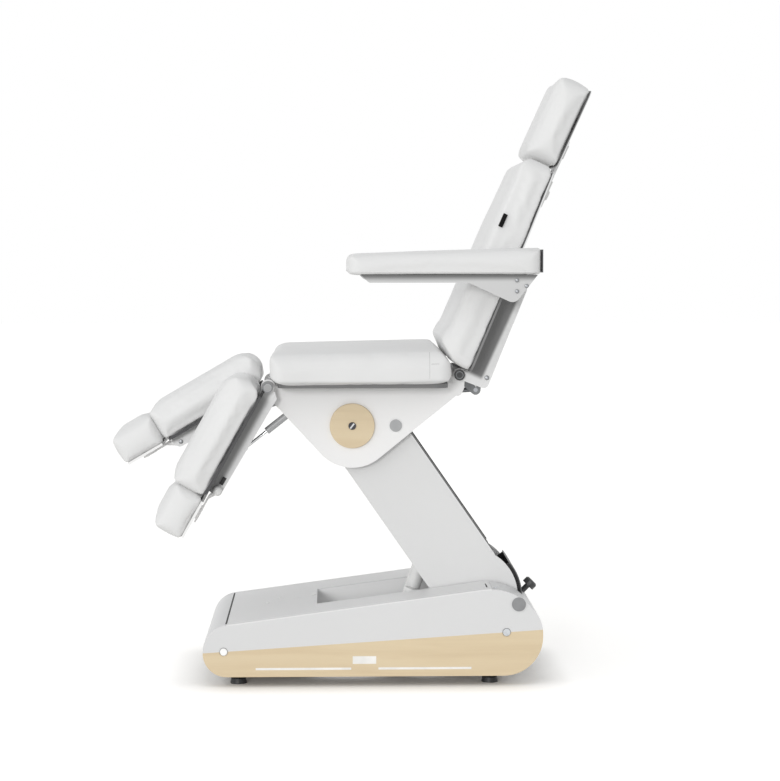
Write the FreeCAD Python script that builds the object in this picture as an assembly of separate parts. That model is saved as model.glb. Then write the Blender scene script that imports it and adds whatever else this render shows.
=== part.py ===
import FreeCAD, Part
import math
import os

# Podiatry chair, millimetres, +Z up, +X towards the head end, -Y is the chair's left side.
# The origin lies on the floor under the middle of the whole chair.

Vec = FreeCAD.Vector

# Fits shared by all pieces
running_gap = 0.3
hinge_fit = 0.05
panel_gap = 0.8
overrun = 60.0
grip_side_count = 14
neck_draw_share = 0.33
edge_bow_share = 0.29

# Lift linkage: the arm and the rear link are the two long sides of a parallelogram
middle_x = 8.0
arm_pivot_x = 350.5
arm_pivot_z = 223.5
link_offset = 120.4
arm_length = 583.0
arm_rest_angle = 55.3
pivot_axle_radius = 11.0
pivot_bush_radius = 16.0

# Base housing
base_front_x = -390.0
base_rear_x = 538.0
base_half_width = 280.0
base_underside = 27.0
base_front_height = 134.5
base_rear_height = 155.0
base_crest_x = 447.7
base_crest_height = 246.5
base_nose_radius = 74.0
base_toe_radius = 66.0
base_heel_radius = 107.0
base_tail_radius = 95.0
base_crest_radius = 150.0
seam_front_z = 92.9
seam_rear_z = 153.2
cover_wall = 3.0
wood_wall = 18.0
cover_crack_x = -327.0
tail_inset_share = 0.4
crest_inset_share = 0.3
top_panel_rear_x = 400.0

# Well for the lift arm
well_half_width = 130.0
well_front_x = -80.0
well_liner_rear_x = 290.0
liner_wall = 3.0
liner_floor_z = 80.0
hood_inner_radius = 140.0
hood_wall = 3.0
hood_half_width = 128.0
hood_start_angle = -5.0
hood_end_angle = 52.0

# Small features on the base top
top_slot_x = -150.0
top_slot_y = 17.0
top_slot_length = 26.0
top_slot_width = 3.0
top_screw_radius = 5.5
top_screw_height = 1.5
top_screw_1_x = -222.0
top_screw_2_x = -188.0
top_screw_2_y = 59.0
top_screw_3_x = -90.0
top_screw_3_y = 34.0
top_screw_4_x = 408.0
top_screw_4_margin = 10.0
rear_slit_inner_y = 170.0
rear_slit_length = 110.0
rear_slit_width = 4.0
rear_slit_x = 385.0

# Chassis
rail_side_margin = 22.0
rail_width = 40.0
rail_bottom_z = 35.0
rail_top_z = 75.0
rail_front_x = -330.0
rail_rear_x = 480.0
rail_wall = 4.0
cross_width = 40.0
cross_low_top_z = 52.0
bearing_inner_y = 137.0
bearing_wall = 8.0
bearing_front_x = 300.0
bearing_rear_x = 510.0
bearing_top_gap = 6.0
link_lug_inner_y = 96.0
link_lug_wall = 10.0
link_lug_radius = 18.0

# Feet, caps, screws, strips and fittings of the base
foot_radius = 23.0
foot_height = 14.0
foot_stem_radius = 6.0
foot_taper_share = 0.9
foot_front_x = -295.0
foot_rear_x = 396.0
base_cap_radius = 19.0
base_cap_height = 3.0
side_screw_radius = 10.0
side_screw_height = 1.2
side_screw_relief = 13.0
side_screw_front_x = -333.0
side_screw_rear_x = 438.0
strip_height = 7.0
strip_depth = 3.0
strip_length = 268.0
strip_slot_margin = 4.0
strip_front_x = -246.0
strip_drop = 46.0
badge_length = 68.0
badge_height = 20.0
control_box_length = 150.0
control_box_width = 240.0
control_box_height = 58.0
control_box_x = -270.0
control_box_lid = 3.0
inlet_width = 48.0
inlet_height = 28.0
inlet_depth = 22.0
inlet_y = 150.0
inlet_z = 92.0
inlet_flange = 6.0
knob_stem_radius = 8.0
knob_stem_length = 23.0
knob_head_radius = 19.0
knob_head_length = 19.0
knob_head_chamfer = 4.0
knob_x = 505.0
knob_angle = 45.0

# Lift arm, in its own frame: s from the lower to the upper pivot, n towards the front
arm_plate_inner_y = 115.0
arm_plate_wall = 10.0
arm_front_n = 84.0
arm_rear_n = 121.0
arm_drum_radius = 131.0
arm_drum_toe_radius = 84.0
arm_front_end_s = 500.0
arm_front_corner_radius = 20.0
arm_rear_start_s = 62.0
arm_rear_end_s = 469.0
arm_rear_corner_radius = 12.0
arm_boss_radius = 75.0
arm_cover_wall = 3.0
arm_cover_start_s = 250.0
arm_cover_end_s = 545.0
arm_web_s = 440.0
arm_web_depth = 60.0
gusset_inner_y = 32.0
gusset_wall = 6.0
gusset_pin_radius = 26.0
gusset_foot_start_s = 254.0
gusset_foot_length = 110.0
trim_lip = 2.0
trim_depth = 7.0
trim_proud = 2.5
trim_start_s = 70.0

# Lift actuator: both of its pins lie on one circle about the lower arm pivot
actuator_pin_circle_radius = 260.0
actuator_base_angle = -145.0
actuator_arm_angle = 106.7
actuator_pin_radius = 7.0
actuator_eye_radius = 15.0
actuator_eye_half_width = 20.0
actuator_tube_radius = 22.0
actuator_tube_start = 22.0
actuator_tube_end = 235.0
actuator_bore_start = 55.0
actuator_rod_radius = 12.0
actuator_rod_length = 217.0
motor_radius = 25.0
motor_length = 135.0
motor_offset = 49.0
motor_start = 30.0
clevis_wall = 6.0
clevis_gap = 1.0
clevis_radius = 16.0

# Rear link
link_bar_inner_y = 80.0
link_bar_wall = 10.0
link_bar_radius = 18.0
link_tube_radius = 12.0
link_tube_share = 0.8
link_axle_radius = 9.0
link_open_gap = 0.8

# Seat frame: all that the seat carries is drawn with the seat's pivot at this place
seat_pivot_x = 18.6
seat_pivot_z = 702.8
seat_plate_inner_y = 150.0
seat_plate_wall = 6.0
leg_hinge_x = -213.0
leg_hinge_z = 811.0
leg_tube_radius = 13.0
leg_tube_wall = 3.0
leg_tube_half_length = 205.0
leg_ear_radius = 20.0
disc_boss_radius = 117.0
seat_corner_x = 316.0
seat_corner_z = 808.0
seat_corner_radius = 12.0
back_hinge_x = 314.0
back_hinge_z = 844.0
back_tube_radius = 12.5
back_tube_half_length = 184.0
back_ear_radius = 17.0
seat_board_front_x = -185.0
seat_board_rear_x = 280.0
seat_board_bottom = 812.0
seat_board_wall = 12.0
seat_board_half_width = 250.0
seat_tube_height = 18.0
seat_tube_width = 30.0
seat_tube_front_x = -140.0
seat_tube_rear_x = 250.0
seat_subplate_wall = 6.0
seat_subplate_front_x = 60.0
seat_subplate_half_width = 118.0
disc_radius = 62.0
disc_wall = 10.0
disc_edge_chamfer = 1.5
disc_screw_radius = 10.0
disc_screw_height = 3.0
disc_slot_width = 2.0
disc_slot_depth = 1.5
seat_cap_radius = 17.0
seat_cap_height = 3.0

# Seat cushion
seat_cushion_half_width = 290.0
seat_cushion_front_x = -210.0
seat_cushion_rear_x = 293.0
seat_cushion_bottom = 824.0
seat_cushion_height = 106.0
seat_cushion_crown = 20.0
seat_cushion_edge = 34.0
seat_cushion_draw = 9.0
seat_cushion_plan_radius = 36.0
seat_cushion_front_lift = 14.0
seat_cushion_front_step = 20.0
seat_cushion_rear_run = 49.0
seat_cushion_rear_step = 50.0
seat_cushion_rise_angle = 1.3
seat_cushion_skirt_height = 22.0

# Back frame, in its own frame: u up along the back, v towards the front
back_lean_angle = 65.5
back_plate_inner_y = 170.0
back_plate_wall = 6.0
back_plate_depth = 85.0
back_plate_top_u = 292.0
back_plate_top_v = 72.0
back_plate_tip_u = 332.0
back_plate_heel_u = 6.0
back_plate_foot_u = 17.0
back_plate_corner_radius = 14.0
back_ear_front = 12.0
back_sleeve_radius = 17.0
back_sleeve_half_length = 146.0
back_cross_low_u = 62.0
back_cross_high_u = 262.0
back_cross_width = 28.0
back_cross_depth = 30.0
back_board_start_u = 20.0
back_board_end_u = 606.0
back_board_start_v = -13.0
back_board_end_v = 2.0
back_board_wall = 6.0
back_board_margin = 10.0
low_margin_share = 0.3
back_screw_radius = 6.0
back_screw_height = 2.0
back_screw_u = 24.0
back_screw_v = -72.0

# Back cushion
back_low_half_width = 290.0
back_mid_half_width = 266.0
back_top_half_width = 220.0
back_cushion_start_u = 19.0
back_cushion_end_u = 626.0
back_cushion_mid_u = 420.0
back_cushion_front_v = 88.0
back_cushion_waist_v = 82.0
back_cushion_lumbar_v = 93.0
back_cushion_lumbar_u = 66.0
back_cushion_waist_u = 112.0
back_cushion_knee_u = 26.0
back_cushion_knee_v = 36.0
back_cushion_foot_v = 1.0
back_cushion_top_radius = 30.0
back_plan_top_radius = 40.0
back_cushion_tail_radius = 14.0
back_cushion_edge = 27.0
back_cushion_crown = 6.0
back_cushion_draw = 8.0
tag_length = 38.0
tag_width = 12.0
tag_wall = 1.0
tag_u = 412.0
tag_v = 74.0

# Back actuator
lever_pin_x = 369.0
lever_pin_z = 793.0
lever_inner_y = 20.0
lever_wall = 8.0
lever_root_radius = 17.0
lever_pin_boss = 14.0
back_drive_pin_x = -80.0
back_drive_pin_z = 766.0
back_drive_pin_radius = 6.0
back_drive_eye_radius = 13.0
back_drive_eye_half_width = 9.0
back_drive_tube_radius = 19.0
back_drive_bore_radius = 14.5
back_drive_tube_start = 36.0
back_drive_tube_end = 310.0
back_drive_bore_start = 150.0
back_drive_rod_radius = 7.0
back_drive_rod_length = 200.0
back_motor_radius = 22.0
back_motor_length = 110.0
back_motor_offset = 42.0
back_motor_start = 40.0

# Headrest
head_start_u = 628.0
head_end_u = 868.0
head_rear_v = -5.0
head_front_v = 90.0
head_half_width = 160.0
head_crown = 6.0
head_edge = 24.0
head_nose_radius = 26.0
head_draw = 7.0
head_plan_radius = 40.0
head_board_wall = 5.0
head_board_margin = 6.0
head_post_radius = 5.0
head_post_y = 32.0
head_post_v = -16.5
head_post_start_u = 440.0
head_post_end_u = 720.0
head_clamp_start_u = 668.0
head_clamp_length = 40.0
guide_start_u = 520.0
guide_length = 78.0
guide_half_width = 46.0
guide_rear_v = -24.0
head_knob_radius = 15.0
head_knob_length = 7.0
head_knob_taper = 2.0
head_knob_stem_radius = 5.0
head_knob_stem_length = 12.0

# Armrests
hub_u = 283.0
hub_v = -36.0
hub_radius = 9.5
hub_outer_y = 322.0
hub_collar_radius = 12.5
bracket_wall = 5.0
bracket_slope_x = 326.0
bracket_low_x = 448.7
bracket_low_z = 1043.4
bracket_rear_x = 509.5
bracket_bottom_z = 1100.0
bracket_corner_radius = 15.0
bracket_tip_radius = 22.0
bracket_screw_radius = 5.0
bracket_screw_height = 2.0
bracket_screw_front_x = 454.0
bracket_screw_rear_x = 479.5
bracket_screw_top_z = 1106.5
bracket_screw_rear_z = 1091.3
bracket_screw_low_z = 1077.3
tray_front_x = 40.0
tray_inner_y = 306.0
tray_width = 63.0
tray_height = 21.0
tray_chamfer = 21.0
tray_inset = 2.0
end_plate_wall = 4.0
end_plate_margin = 6.0
arm_pad_front_x = 5.0
arm_pad_rear_x = 521.0
arm_pad_inner_y = 300.0
arm_pad_width = 80.0
arm_pad_front_height = 57.0
arm_pad_rear_height = 73.0
arm_pad_crown = 7.0
arm_pad_edge = 20.0
arm_pad_draw = 4.0
arm_pad_plan_radius = 34.0
arm_pad_nose_radius = 24.0

# Legs, in their own frame: -x runs along the leg from its hinge, +z is the cushion side
left_leg_angle = 60.6
right_leg_angle = 30.2
leg_inner_y = 12.0
leg_outer_y = 280.0
leg_cushion_start = 2.0
leg_cushion_end = 342.0
leg_cushion_bottom = 9.5
leg_cushion_top = 110.0
leg_cushion_crown = 10.0
leg_cushion_edge = 28.0
leg_cushion_draw = 7.0
leg_cushion_root_radius = 50.0
leg_root_step = 10.5
leg_cushion_root_lift = 20.0
leg_cushion_end_radius = 18.0
leg_cushion_plan_radius = 26.0
leg_board_wall = 8.0
leg_board_start = 28.0
leg_board_margin = 12.0
leg_plate_inner_y = 60.0
leg_plate_outer_y = 190.0
leg_plate_wall = 6.0
leg_plate_root_depth = 37.0
leg_plate_end_depth = 31.0
leg_plate_end = 325.0
leg_plate_corner_radius = 15.0
leg_eye_radius = 18.0
leg_sleeve_half_length = 8.0
leg_cross_share = 0.86
leg_cross_half = 4.5

# Foot parts sliding out of the legs
foot_cushion_gap = 1.5
foot_cushion_length = 130.0
foot_cushion_bottom = 7.0
foot_cushion_top = 98.0
foot_cushion_crown = 9.0
foot_board_wall = 7.0
foot_board_margin = 9.0
foot_rod_half_width = 6.0
foot_rod_q = -14.0
foot_rod_inner_y = 92.0
foot_rod_outer_y = 166.0
foot_rod_start = 135.0
foot_rod_end = 425.0
foot_sleeve_start = 118.0
foot_sleeve_end = 330.0
foot_sleeve_wall = 2.5
foot_saddle_length = 24.0
foot_saddle_width = 14.0
foot_clamp_start = 385.0
foot_clamp_length = 30.0
foot_clamp_depth = 8.0
leg_knob_p = 313.0
leg_knob_q = -18.0
leg_knob_radius = 13.7
leg_knob_ring_angles = (-62, -22, 22, 62)
leg_knob_stem_radius = 4.0
leg_knob_bush_radius = 8.0
leg_knob_bush_length = 9.0
leg_stop_p = 284.0
leg_stop_length = 22.0
leg_stop_height = 11.0
leg_stop_wall = 3.0
leg_screw_p = 307.0
leg_screw_radius = 6.0
leg_screw_height = 2.0

# Gas springs of the legs
strut_y = 138.0
strut_seat_x = -100.0
strut_seat_z = 780.0
strut_leg_p = 180.0
strut_leg_q = -28.0
strut_pin_radius = 4.0
strut_eye_radius = 8.0
strut_eye_half_width = 6.0
strut_cylinder_radius = 10.0
strut_bore_radius = 8.8
strut_cylinder_start = 6.0
strut_cylinder_end = 150.0
strut_bore_start = 18.0
strut_rod_radius = 4.0
strut_rod_length = 178.0

# Values worked out from the ones above
arm_pivot = (arm_pivot_x, arm_pivot_z)
link_pivot = (arm_pivot_x + link_offset, arm_pivot_z)
arm_angle = 180.0 - arm_rest_angle
arm_top_x = arm_pivot_x + arm_length * math.cos(math.radians(arm_angle))
arm_top_z = arm_pivot_z + arm_length * math.sin(math.radians(arm_angle))
seat_pivot = (seat_pivot_x, seat_pivot_z)
seat_link_pivot = (seat_pivot_x + link_offset, seat_pivot_z)
seat_shift = Vec(arm_top_x - seat_pivot_x, 0, arm_top_z - seat_pivot_z)
leg_hinge = (leg_hinge_x, leg_hinge_z)
back_hinge = (back_hinge_x, back_hinge_z)
seat_plate_outer_y = seat_plate_inner_y + seat_plate_wall
arm_plate_outer_y = arm_plate_inner_y + arm_plate_wall
back_plate_outer_y = back_plate_inner_y + back_plate_wall
base_top_z = base_underside + base_front_height
base_crest_z = base_underside + base_crest_height
rail_outer_y = base_half_width - wood_wall - rail_side_margin
rail_inner_y = rail_outer_y - rail_width
foot_y = (rail_inner_y + rail_outer_y) / 2


# Shape helpers

def unit(vector):
    return vector * (1 / vector.Length)


def polar(centre, radius, angle):
    turn = math.radians(angle)
    return (centre[0] + radius * math.cos(turn), centre[1] + radius * math.sin(turn))


# Closed outline in the XZ plane from corners (x, z, radius)
def rounded_wire(corners):
    edges = []
    last = None
    first = None
    count = len(corners)
    for i in range(count):
        x, z, radius = corners[i]
        here = Vec(x, 0, z)
        to_before = unit(Vec(corners[i - 1][0], 0, corners[i - 1][1]) - here)
        after = corners[(i + 1) % count]
        to_after = unit(Vec(after[0], 0, after[1]) - here)
        start = here
        end = here
        arc = None
        if radius > 0:
            half = to_before.getAngle(to_after) / 2
            reach = radius / math.tan(half)
            start = here + to_before * reach
            end = here + to_after * reach
            inward = unit(to_before + to_after)
            middle = here + inward * (radius / math.sin(half) - radius)
            arc = Part.Arc(start, middle, end).toShape()
        if last is not None:
            edges.append(Part.makeLine(last, start))
        else:
            first = start
        if arc is not None:
            edges.append(arc)
        last = end
    edges.append(Part.makeLine(last, first))
    return Part.Wire(edges)


# Tight belt round circles (x, z, radius) listed counter-clockwise
def belt_wire(circles):
    count = len(circles)
    normals = []
    for i in range(count):
        x0, z0, r0 = circles[i]
        x1, z1, r1 = circles[(i + 1) % count]
        run = math.hypot(x1 - x0, z1 - z0)
        heading = math.atan2(z1 - z0, x1 - x0)
        normals.append(heading - math.acos((r0 - r1) / run))
    edges = []
    for i in range(count):
        x, z, radius = circles[i]
        begin = normals[i - 1]
        end = normals[i]
        while end < begin:
            end += 2 * math.pi
        ring = []
        for turn in (begin, (begin + end) / 2, end):
            ring.append(Vec(x + radius * math.cos(turn), 0, z + radius * math.sin(turn)))
        if end - begin > 0.001:
            edges.append(Part.Arc(ring[0], ring[1], ring[2]).toShape())
        after = circles[(i + 1) % count]
        target = Vec(after[0] + after[2] * math.cos(end), 0, after[1] + after[2] * math.sin(end))
        edges.append(Part.makeLine(ring[2], target))
    return Part.Wire(edges)


def slab(wire, y0, y1):
    face = Part.Face(wire)
    face.translate(Vec(0, y0, 0))
    return face.extrude(Vec(0, y1 - y0, 0))


def box(x0, x1, y0, y1, z0, z1):
    return Part.makeBox(x1 - x0, y1 - y0, z1 - z0, Vec(x0, y0, z0))


# Round bar across the chair, centred on point (x, z)
def cross_bar(point, y0, y1, radius):
    return Part.makeCylinder(radius, y1 - y0, Vec(point[0], y0, point[1]), Vec(0, 1, 0))


# Round bar from one (x, z) point towards a heading in the XZ plane, at side y
def long_bar(point, heading, y, start, end, radius):
    turn = math.radians(heading)
    along = Vec(math.cos(turn), 0, math.sin(turn))
    foot = Vec(point[0], y, point[1]) + along * start
    return Part.makeCylinder(radius, end - start, foot, along)


def joined(first, *others):
    return first.fuse(list(others)).removeSplitter() if others else first


def cut(shape, *tools):
    return shape.cut(list(tools))


def mirrored(shape):
    return shape.mirror(Vec(0, 0, 0), Vec(0, 1, 0))


def pair(shape):
    return [shape, mirrored(shape)]


# Moves a shape from a part's own frame to the chair: turned about Y, then shifted
def placed(shape, point, angle):
    moved = shape.copy()
    moved.rotate(Vec(0, 0, 0), Vec(0, -1, 0), angle)
    moved.translate(Vec(point[0], 0, point[1]))
    return moved


# Grip with flat sides about the Y axis, from the radius and height of its rings
def faceted(rows):
    rings = []
    for radius, y in rows:
        points = []
        for i in range(grip_side_count):
            turn = 2 * math.pi * i / grip_side_count
            points.append(Vec(radius * math.cos(turn), y, radius * math.sin(turn)))
        rings.append(points)
    faces = [flat_face(rings[0]), flat_face(rings[-1])]
    for low, high in zip(rings, rings[1:]):
        for i in range(grip_side_count):
            faces.append(flat_face([low[i - 1], low[i], high[i], high[i - 1]]))
    return Part.makeSolid(Part.makeShell(faces))


def flat_face(points):
    return Part.Face(Part.makePolygon(points + points[:1]))


def save(name, shapes, shift=Vec(0, 0, 0)):
    solids = []
    for shape in shapes if isinstance(shapes, list) else [shapes]:
        solids.extend(shape.Solids)
    whole = solids[0] if len(solids) == 1 else Part.makeCompound(solids)
    whole = whole.copy()
    whole.translate(shift - Vec(middle_x, 0, 0))
    whole.exportStep("parts/" + name + ".step")


# Saves a piece that the seat carries
def save_on_seat(name, shapes):
    save(name, shapes, seat_shift)


# Stuffed pad: a side profile cut to a crowned section, which can rise along the pad, and a rounded plan
def cushion(profile, y0, y1, bottom, shoulder, crown, edge, draw, plan_radius, slope=0):
    body = slab(profile, y0, y1)
    span = body.BoundBox
    half = (y1 - y0) / 2
    middle = (y0 + y1) / 2
    side_z = (bottom + shoulder) / 2
    x0 = span.XMin - overrun
    sink = span.XLength * math.tan(math.radians(slope))
    neck = draw * neck_draw_share
    left_foot = Vec(x0, y0 + draw, bottom - sink)
    left_side = Vec(x0, y0, side_z)
    left_neck = Vec(x0, y0 + neck, shoulder - edge)
    left_edge = Vec(x0, y0 + neck + edge * edge_bow_share, shoulder - edge * edge_bow_share)
    left_top = Vec(x0, y0 + neck + edge, shoulder)
    top = Vec(x0, middle, shoulder + crown)
    flip = [Vec(p.x, 2 * middle - p.y, p.z) for p in (left_foot, left_side, left_neck, left_edge, left_top)]
    edges = [
        Part.Arc(left_foot, left_side, left_neck).toShape(),
        Part.Arc(left_neck, left_edge, left_top).toShape(),
        Part.Arc(left_top, top, flip[4]).toShape(),
        Part.Arc(flip[4], flip[3], flip[2]).toShape(),
        Part.Arc(flip[2], flip[1], flip[0]).toShape(),
        Part.makeLine(flip[0], left_foot),
    ]
    section = Part.Face(Part.Wire(edges)).extrude(Vec(span.XLength + 2 * overrun, 0, 0))
    if slope:
        section.rotate(Vec(span.XMin, 0, bottom), Vec(0, -1, 0), slope)
    plan = Part.makeBox(span.XLength, 2 * half, span.ZLength + 2 * overrun,
                        Vec(span.XMin, y0, span.ZMin - overrun))
    corners = [edge_line for edge_line in plan.Edges
               if abs(edge_line.Vertexes[0].Z - edge_line.Vertexes[1].Z) > span.ZLength]
    plan = plan.makeFillet(plan_radius, corners)
    return body.common(section).common(plan)


# Base

def base_profile(inset=0):
    return [
        (base_front_x + inset, base_underside + inset, base_toe_radius - inset),
        (base_rear_x - inset, base_underside + inset, base_heel_radius - inset),
        (base_rear_x - inset, base_underside + base_rear_height - inset * tail_inset_share,
         base_tail_radius - inset),
        (base_crest_x - inset * crest_inset_share, base_crest_z - inset, base_crest_radius - inset),
        (base_front_x + inset, base_top_z - inset, base_nose_radius - inset),
    ]


def base_solid(inset, half_width):
    return slab(rounded_wire(base_profile(inset)), -half_width, half_width)


def base_top_at(x):
    share = (x - base_front_x) / (base_crest_x - base_front_x)
    return base_top_z + share * (base_crest_z - base_top_z)


def seam_z(x):
    share = (x - base_front_x) / (base_rear_x - base_front_x)
    return seam_front_z + share * (seam_rear_z - seam_front_z)


def below_seam():
    front = base_front_x - overrun
    rear = base_rear_x + overrun
    corners = [(front, -overrun, 0), (rear, -overrun, 0), (rear, seam_z(rear), 0), (front, seam_z(front),
                                                                                    0)]
    reach = base_half_width + overrun
    return slab(rounded_wire(corners), -reach, reach)


def side_screw_places():
    places = []
    for x in (side_screw_front_x, side_screw_rear_x):
        places.append((x, seam_z(x)))
    return places


def make_wood_panel():
    inner = base_half_width - wood_wall
    panel = slab(rounded_wire(base_profile()), -base_half_width, -inner).common(below_seam())
    for point in side_screw_places():
        panel = cut(panel, cross_bar(point, -base_half_width - overrun,
                                     -base_half_width + side_screw_height,
                                     side_screw_relief))
    strip_z = seam_z(strip_front_x + strip_length) - strip_drop
    reach = base_half_width - strip_depth
    rear_x = strip_front_x + 2 * strip_length + badge_length
    groove = box(strip_front_x, rear_x, -base_half_width - overrun, -reach, strip_z, strip_z + strip_height)
    badge = box(strip_front_x + strip_length, strip_front_x + strip_length + badge_length,
                -base_half_width - overrun, -reach, strip_z - strip_slot_margin,
                strip_z - strip_slot_margin + badge_height)
    return cut(panel, groove, badge)


def make_panel_strips():
    strip_z = seam_z(strip_front_x + strip_length) - strip_drop
    face = base_half_width
    back = base_half_width - strip_depth
    front = box(strip_front_x, strip_front_x + strip_length, -face, -back, strip_z, strip_z + strip_height)
    start = strip_front_x + strip_length + badge_length
    rear = box(start, start + strip_length, -face, -back, strip_z, strip_z + strip_height)
    plate = box(strip_front_x + strip_length, start, -face + strip_depth / 2, -back,
                strip_z - strip_slot_margin, strip_z - strip_slot_margin + badge_height)
    return pair(front) + pair(rear) + pair(plate)


def well_cutter(gap=0):
    rear = arm_pivot_x + hood_inner_radius + hood_wall + running_gap
    reach = well_half_width - gap
    return box(well_front_x + gap, rear - gap, -reach, reach, liner_floor_z, base_crest_z + overrun)


def panel_region():
    region = cut(base_solid(0, base_half_width), base_solid(cover_wall, base_half_width + overrun))
    return region.common(box(cover_crack_x, top_panel_rear_x, -base_half_width, base_half_width,
                             seam_front_z, base_crest_z + overrun))


def make_base_cover():
    shell = cut(base_solid(0, base_half_width), base_solid(cover_wall, base_half_width - cover_wall))
    shell = cut(shell, below_seam(), panel_region(), well_cutter())
    for point in side_screw_places():
        relief = cross_bar(point, -base_half_width - overrun, -base_half_width + side_screw_height,
                           side_screw_relief)
        shell = cut(shell, relief, mirrored(relief))
    return shell


def make_top_panel():
    panel = panel_region()
    trimmed = box(cover_crack_x + panel_gap, top_panel_rear_x - panel_gap, -base_half_width - overrun,
                  base_half_width + overrun, 0, base_crest_z + overrun)
    panel = panel.common(trimmed)
    slot = box(top_slot_x, top_slot_x + top_slot_length, top_slot_y, top_slot_y + top_slot_width,
               0, base_crest_z + overrun)
    slit = box(rear_slit_x, rear_slit_x + rear_slit_width, rear_slit_inner_y,
               rear_slit_inner_y + rear_slit_length - panel_gap, 0, base_crest_z + overrun)
    slit = slit.common(box(rear_slit_x, rear_slit_x + rear_slit_width, 0,
                           base_half_width - 2 * wood_wall, 0, base_crest_z + overrun))
    return cut(panel, well_cutter(), slot, slit, mirrored(slit))


def top_screw_places():
    places = ((top_screw_1_x, 0), (top_screw_2_x, top_screw_2_y), (top_screw_3_x, top_screw_3_y),
              (top_screw_4_x, top_screw_4_margin - base_half_width))
    slope = math.atan2(base_crest_z - base_top_z, base_crest_x - base_front_x)
    normal = Vec(-math.sin(slope), 0, math.cos(slope))
    return [Vec(x, y, base_top_at(x)) for x, y in places], normal


def make_top_screws():
    seats, normal = top_screw_places()
    return [Part.makeCylinder(top_screw_radius, top_screw_height, seat, normal) for seat in seats]


def make_well_liner():
    inside = base_solid(cover_wall, base_half_width)
    outer = well_half_width + liner_wall
    walls = box(well_front_x - liner_wall, well_liner_rear_x, -outer, outer, liner_floor_z, base_crest_z)
    hollow = box(well_front_x, well_liner_rear_x + overrun, -well_half_width, well_half_width,
                 0, base_crest_z + overrun)
    return cut(walls, hollow).common(inside)


def make_rear_hood():
    outer = hood_inner_radius + hood_wall
    ring = cut(cross_bar(arm_pivot, -hood_half_width, hood_half_width, outer),
               cross_bar(arm_pivot, -hood_half_width - overrun, hood_half_width + overrun,
                         hood_inner_radius))
    far = 2 * outer
    start = polar(arm_pivot, far, hood_start_angle)
    middle = polar(arm_pivot, far, (hood_start_angle + hood_end_angle) / 2)
    end = polar(arm_pivot, far, hood_end_angle)
    wedge = [(arm_pivot_x, arm_pivot_z, 0), start + (0,), middle + (0,), end + (0,)]
    return ring.common(slab(rounded_wire(wedge), -hood_half_width, hood_half_width))


def make_base_skirts():
    half = base_half_width - wood_wall
    shell = cut(base_solid(0, half), base_solid(cover_wall, half + overrun)).common(below_seam())
    front = shell.common(box(base_front_x, base_front_x + base_toe_radius, -half, half, 0, base_crest_z))
    rear = shell.common(box(base_rear_x - base_heel_radius, base_rear_x, -half, half, 0, base_crest_z))
    opening = box(base_rear_x - base_heel_radius, base_rear_x + overrun, inlet_y - inlet_width / 2,
                  inlet_y + inlet_width / 2, inlet_z - inlet_height / 2, inlet_z + inlet_height / 2)
    return [front, cut(rear, opening)]


def hollow_rail(x0, x1, y0, y1, z0, z1, along_x):
    rail = box(x0, x1, y0, y1, z0, z1)
    wall = rail_wall
    if along_x:
        return cut(rail, box(x0 - overrun, x1 + overrun, y0 + wall, y1 - wall, z0 + wall, z1 - wall))
    return cut(rail, box(x0 + wall, x1 - wall, y0 - overrun, y1 + overrun, z0 + wall, z1 - wall))


def make_base_chassis():
    pieces = []
    for side in (-1, 1):
        inner = min(side * rail_inner_y, side * rail_outer_y)
        outer = max(side * rail_inner_y, side * rail_outer_y)
        pieces.append(hollow_rail(rail_front_x, rail_rear_x, inner, outer, rail_bottom_z, rail_top_z, True))
    pin = polar(arm_pivot, actuator_pin_circle_radius, actuator_base_angle)
    clevis_x = pin[0] - cross_width / 2
    tops = (
        (rail_front_x, rail_top_z),
        (clevis_x, cross_low_top_z),
        (bearing_front_x, rail_top_z),
        (rail_rear_x - cross_width, rail_top_z),
    )
    for x, top in tops:
        tube = hollow_rail(x, x + cross_width, -rail_inner_y, rail_inner_y, rail_bottom_z, top, False)
        pieces.append(tube)
    lug_inner = actuator_eye_half_width + clevis_gap
    circles = [(pin[0], pin[1], clevis_radius),
               (clevis_x + rail_wall, cross_low_top_z, rail_wall),
               (clevis_x + cross_width - rail_wall, cross_low_top_z, rail_wall)]
    lug = slab(belt_wire(circles), lug_inner, lug_inner + clevis_wall)
    lug = cut(lug, cross_bar(pin, 0, overrun, actuator_pin_radius))
    pieces += pair(lug)
    pieces += pair(make_bearing_plate())
    pieces += pair(make_link_lug())
    frame = joined(*pieces).common(base_solid(cover_wall + panel_gap, base_half_width))
    depth = rail_bottom_z + rail_wall
    stems = [Part.makeCylinder(foot_stem_radius, depth, Vec(x, y, 0)) for x, y in foot_places()]
    return cut(frame, *stems)


def make_bearing_plate():
    inside = base_solid(bearing_top_gap, base_half_width)
    outer_y = bearing_inner_y + bearing_wall
    plate = box(bearing_front_x, bearing_rear_x, bearing_inner_y, outer_y, rail_top_z, base_crest_z)
    plate = plate.common(inside)
    bore = cross_bar(arm_pivot, bearing_inner_y - overrun, outer_y + overrun, pivot_bush_radius)
    return cut(plate, bore)


def make_link_lug():
    foot_front = rail_rear_x - cross_width
    circles = [(link_pivot[0], link_pivot[1], link_lug_radius),
               (foot_front + rail_wall, rail_top_z, rail_wall),
               (rail_rear_x - rail_wall, rail_top_z, rail_wall)]
    lug = slab(belt_wire(circles), link_lug_inner_y, link_lug_inner_y + link_lug_wall)
    return cut(lug, cross_bar(link_pivot, 0, link_lug_inner_y + overrun, link_axle_radius))


def foot_places():
    places = []
    for x in (foot_front_x, foot_rear_x):
        for side in (-1, 1):
            places.append((x, side * foot_y))
    return places


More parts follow.
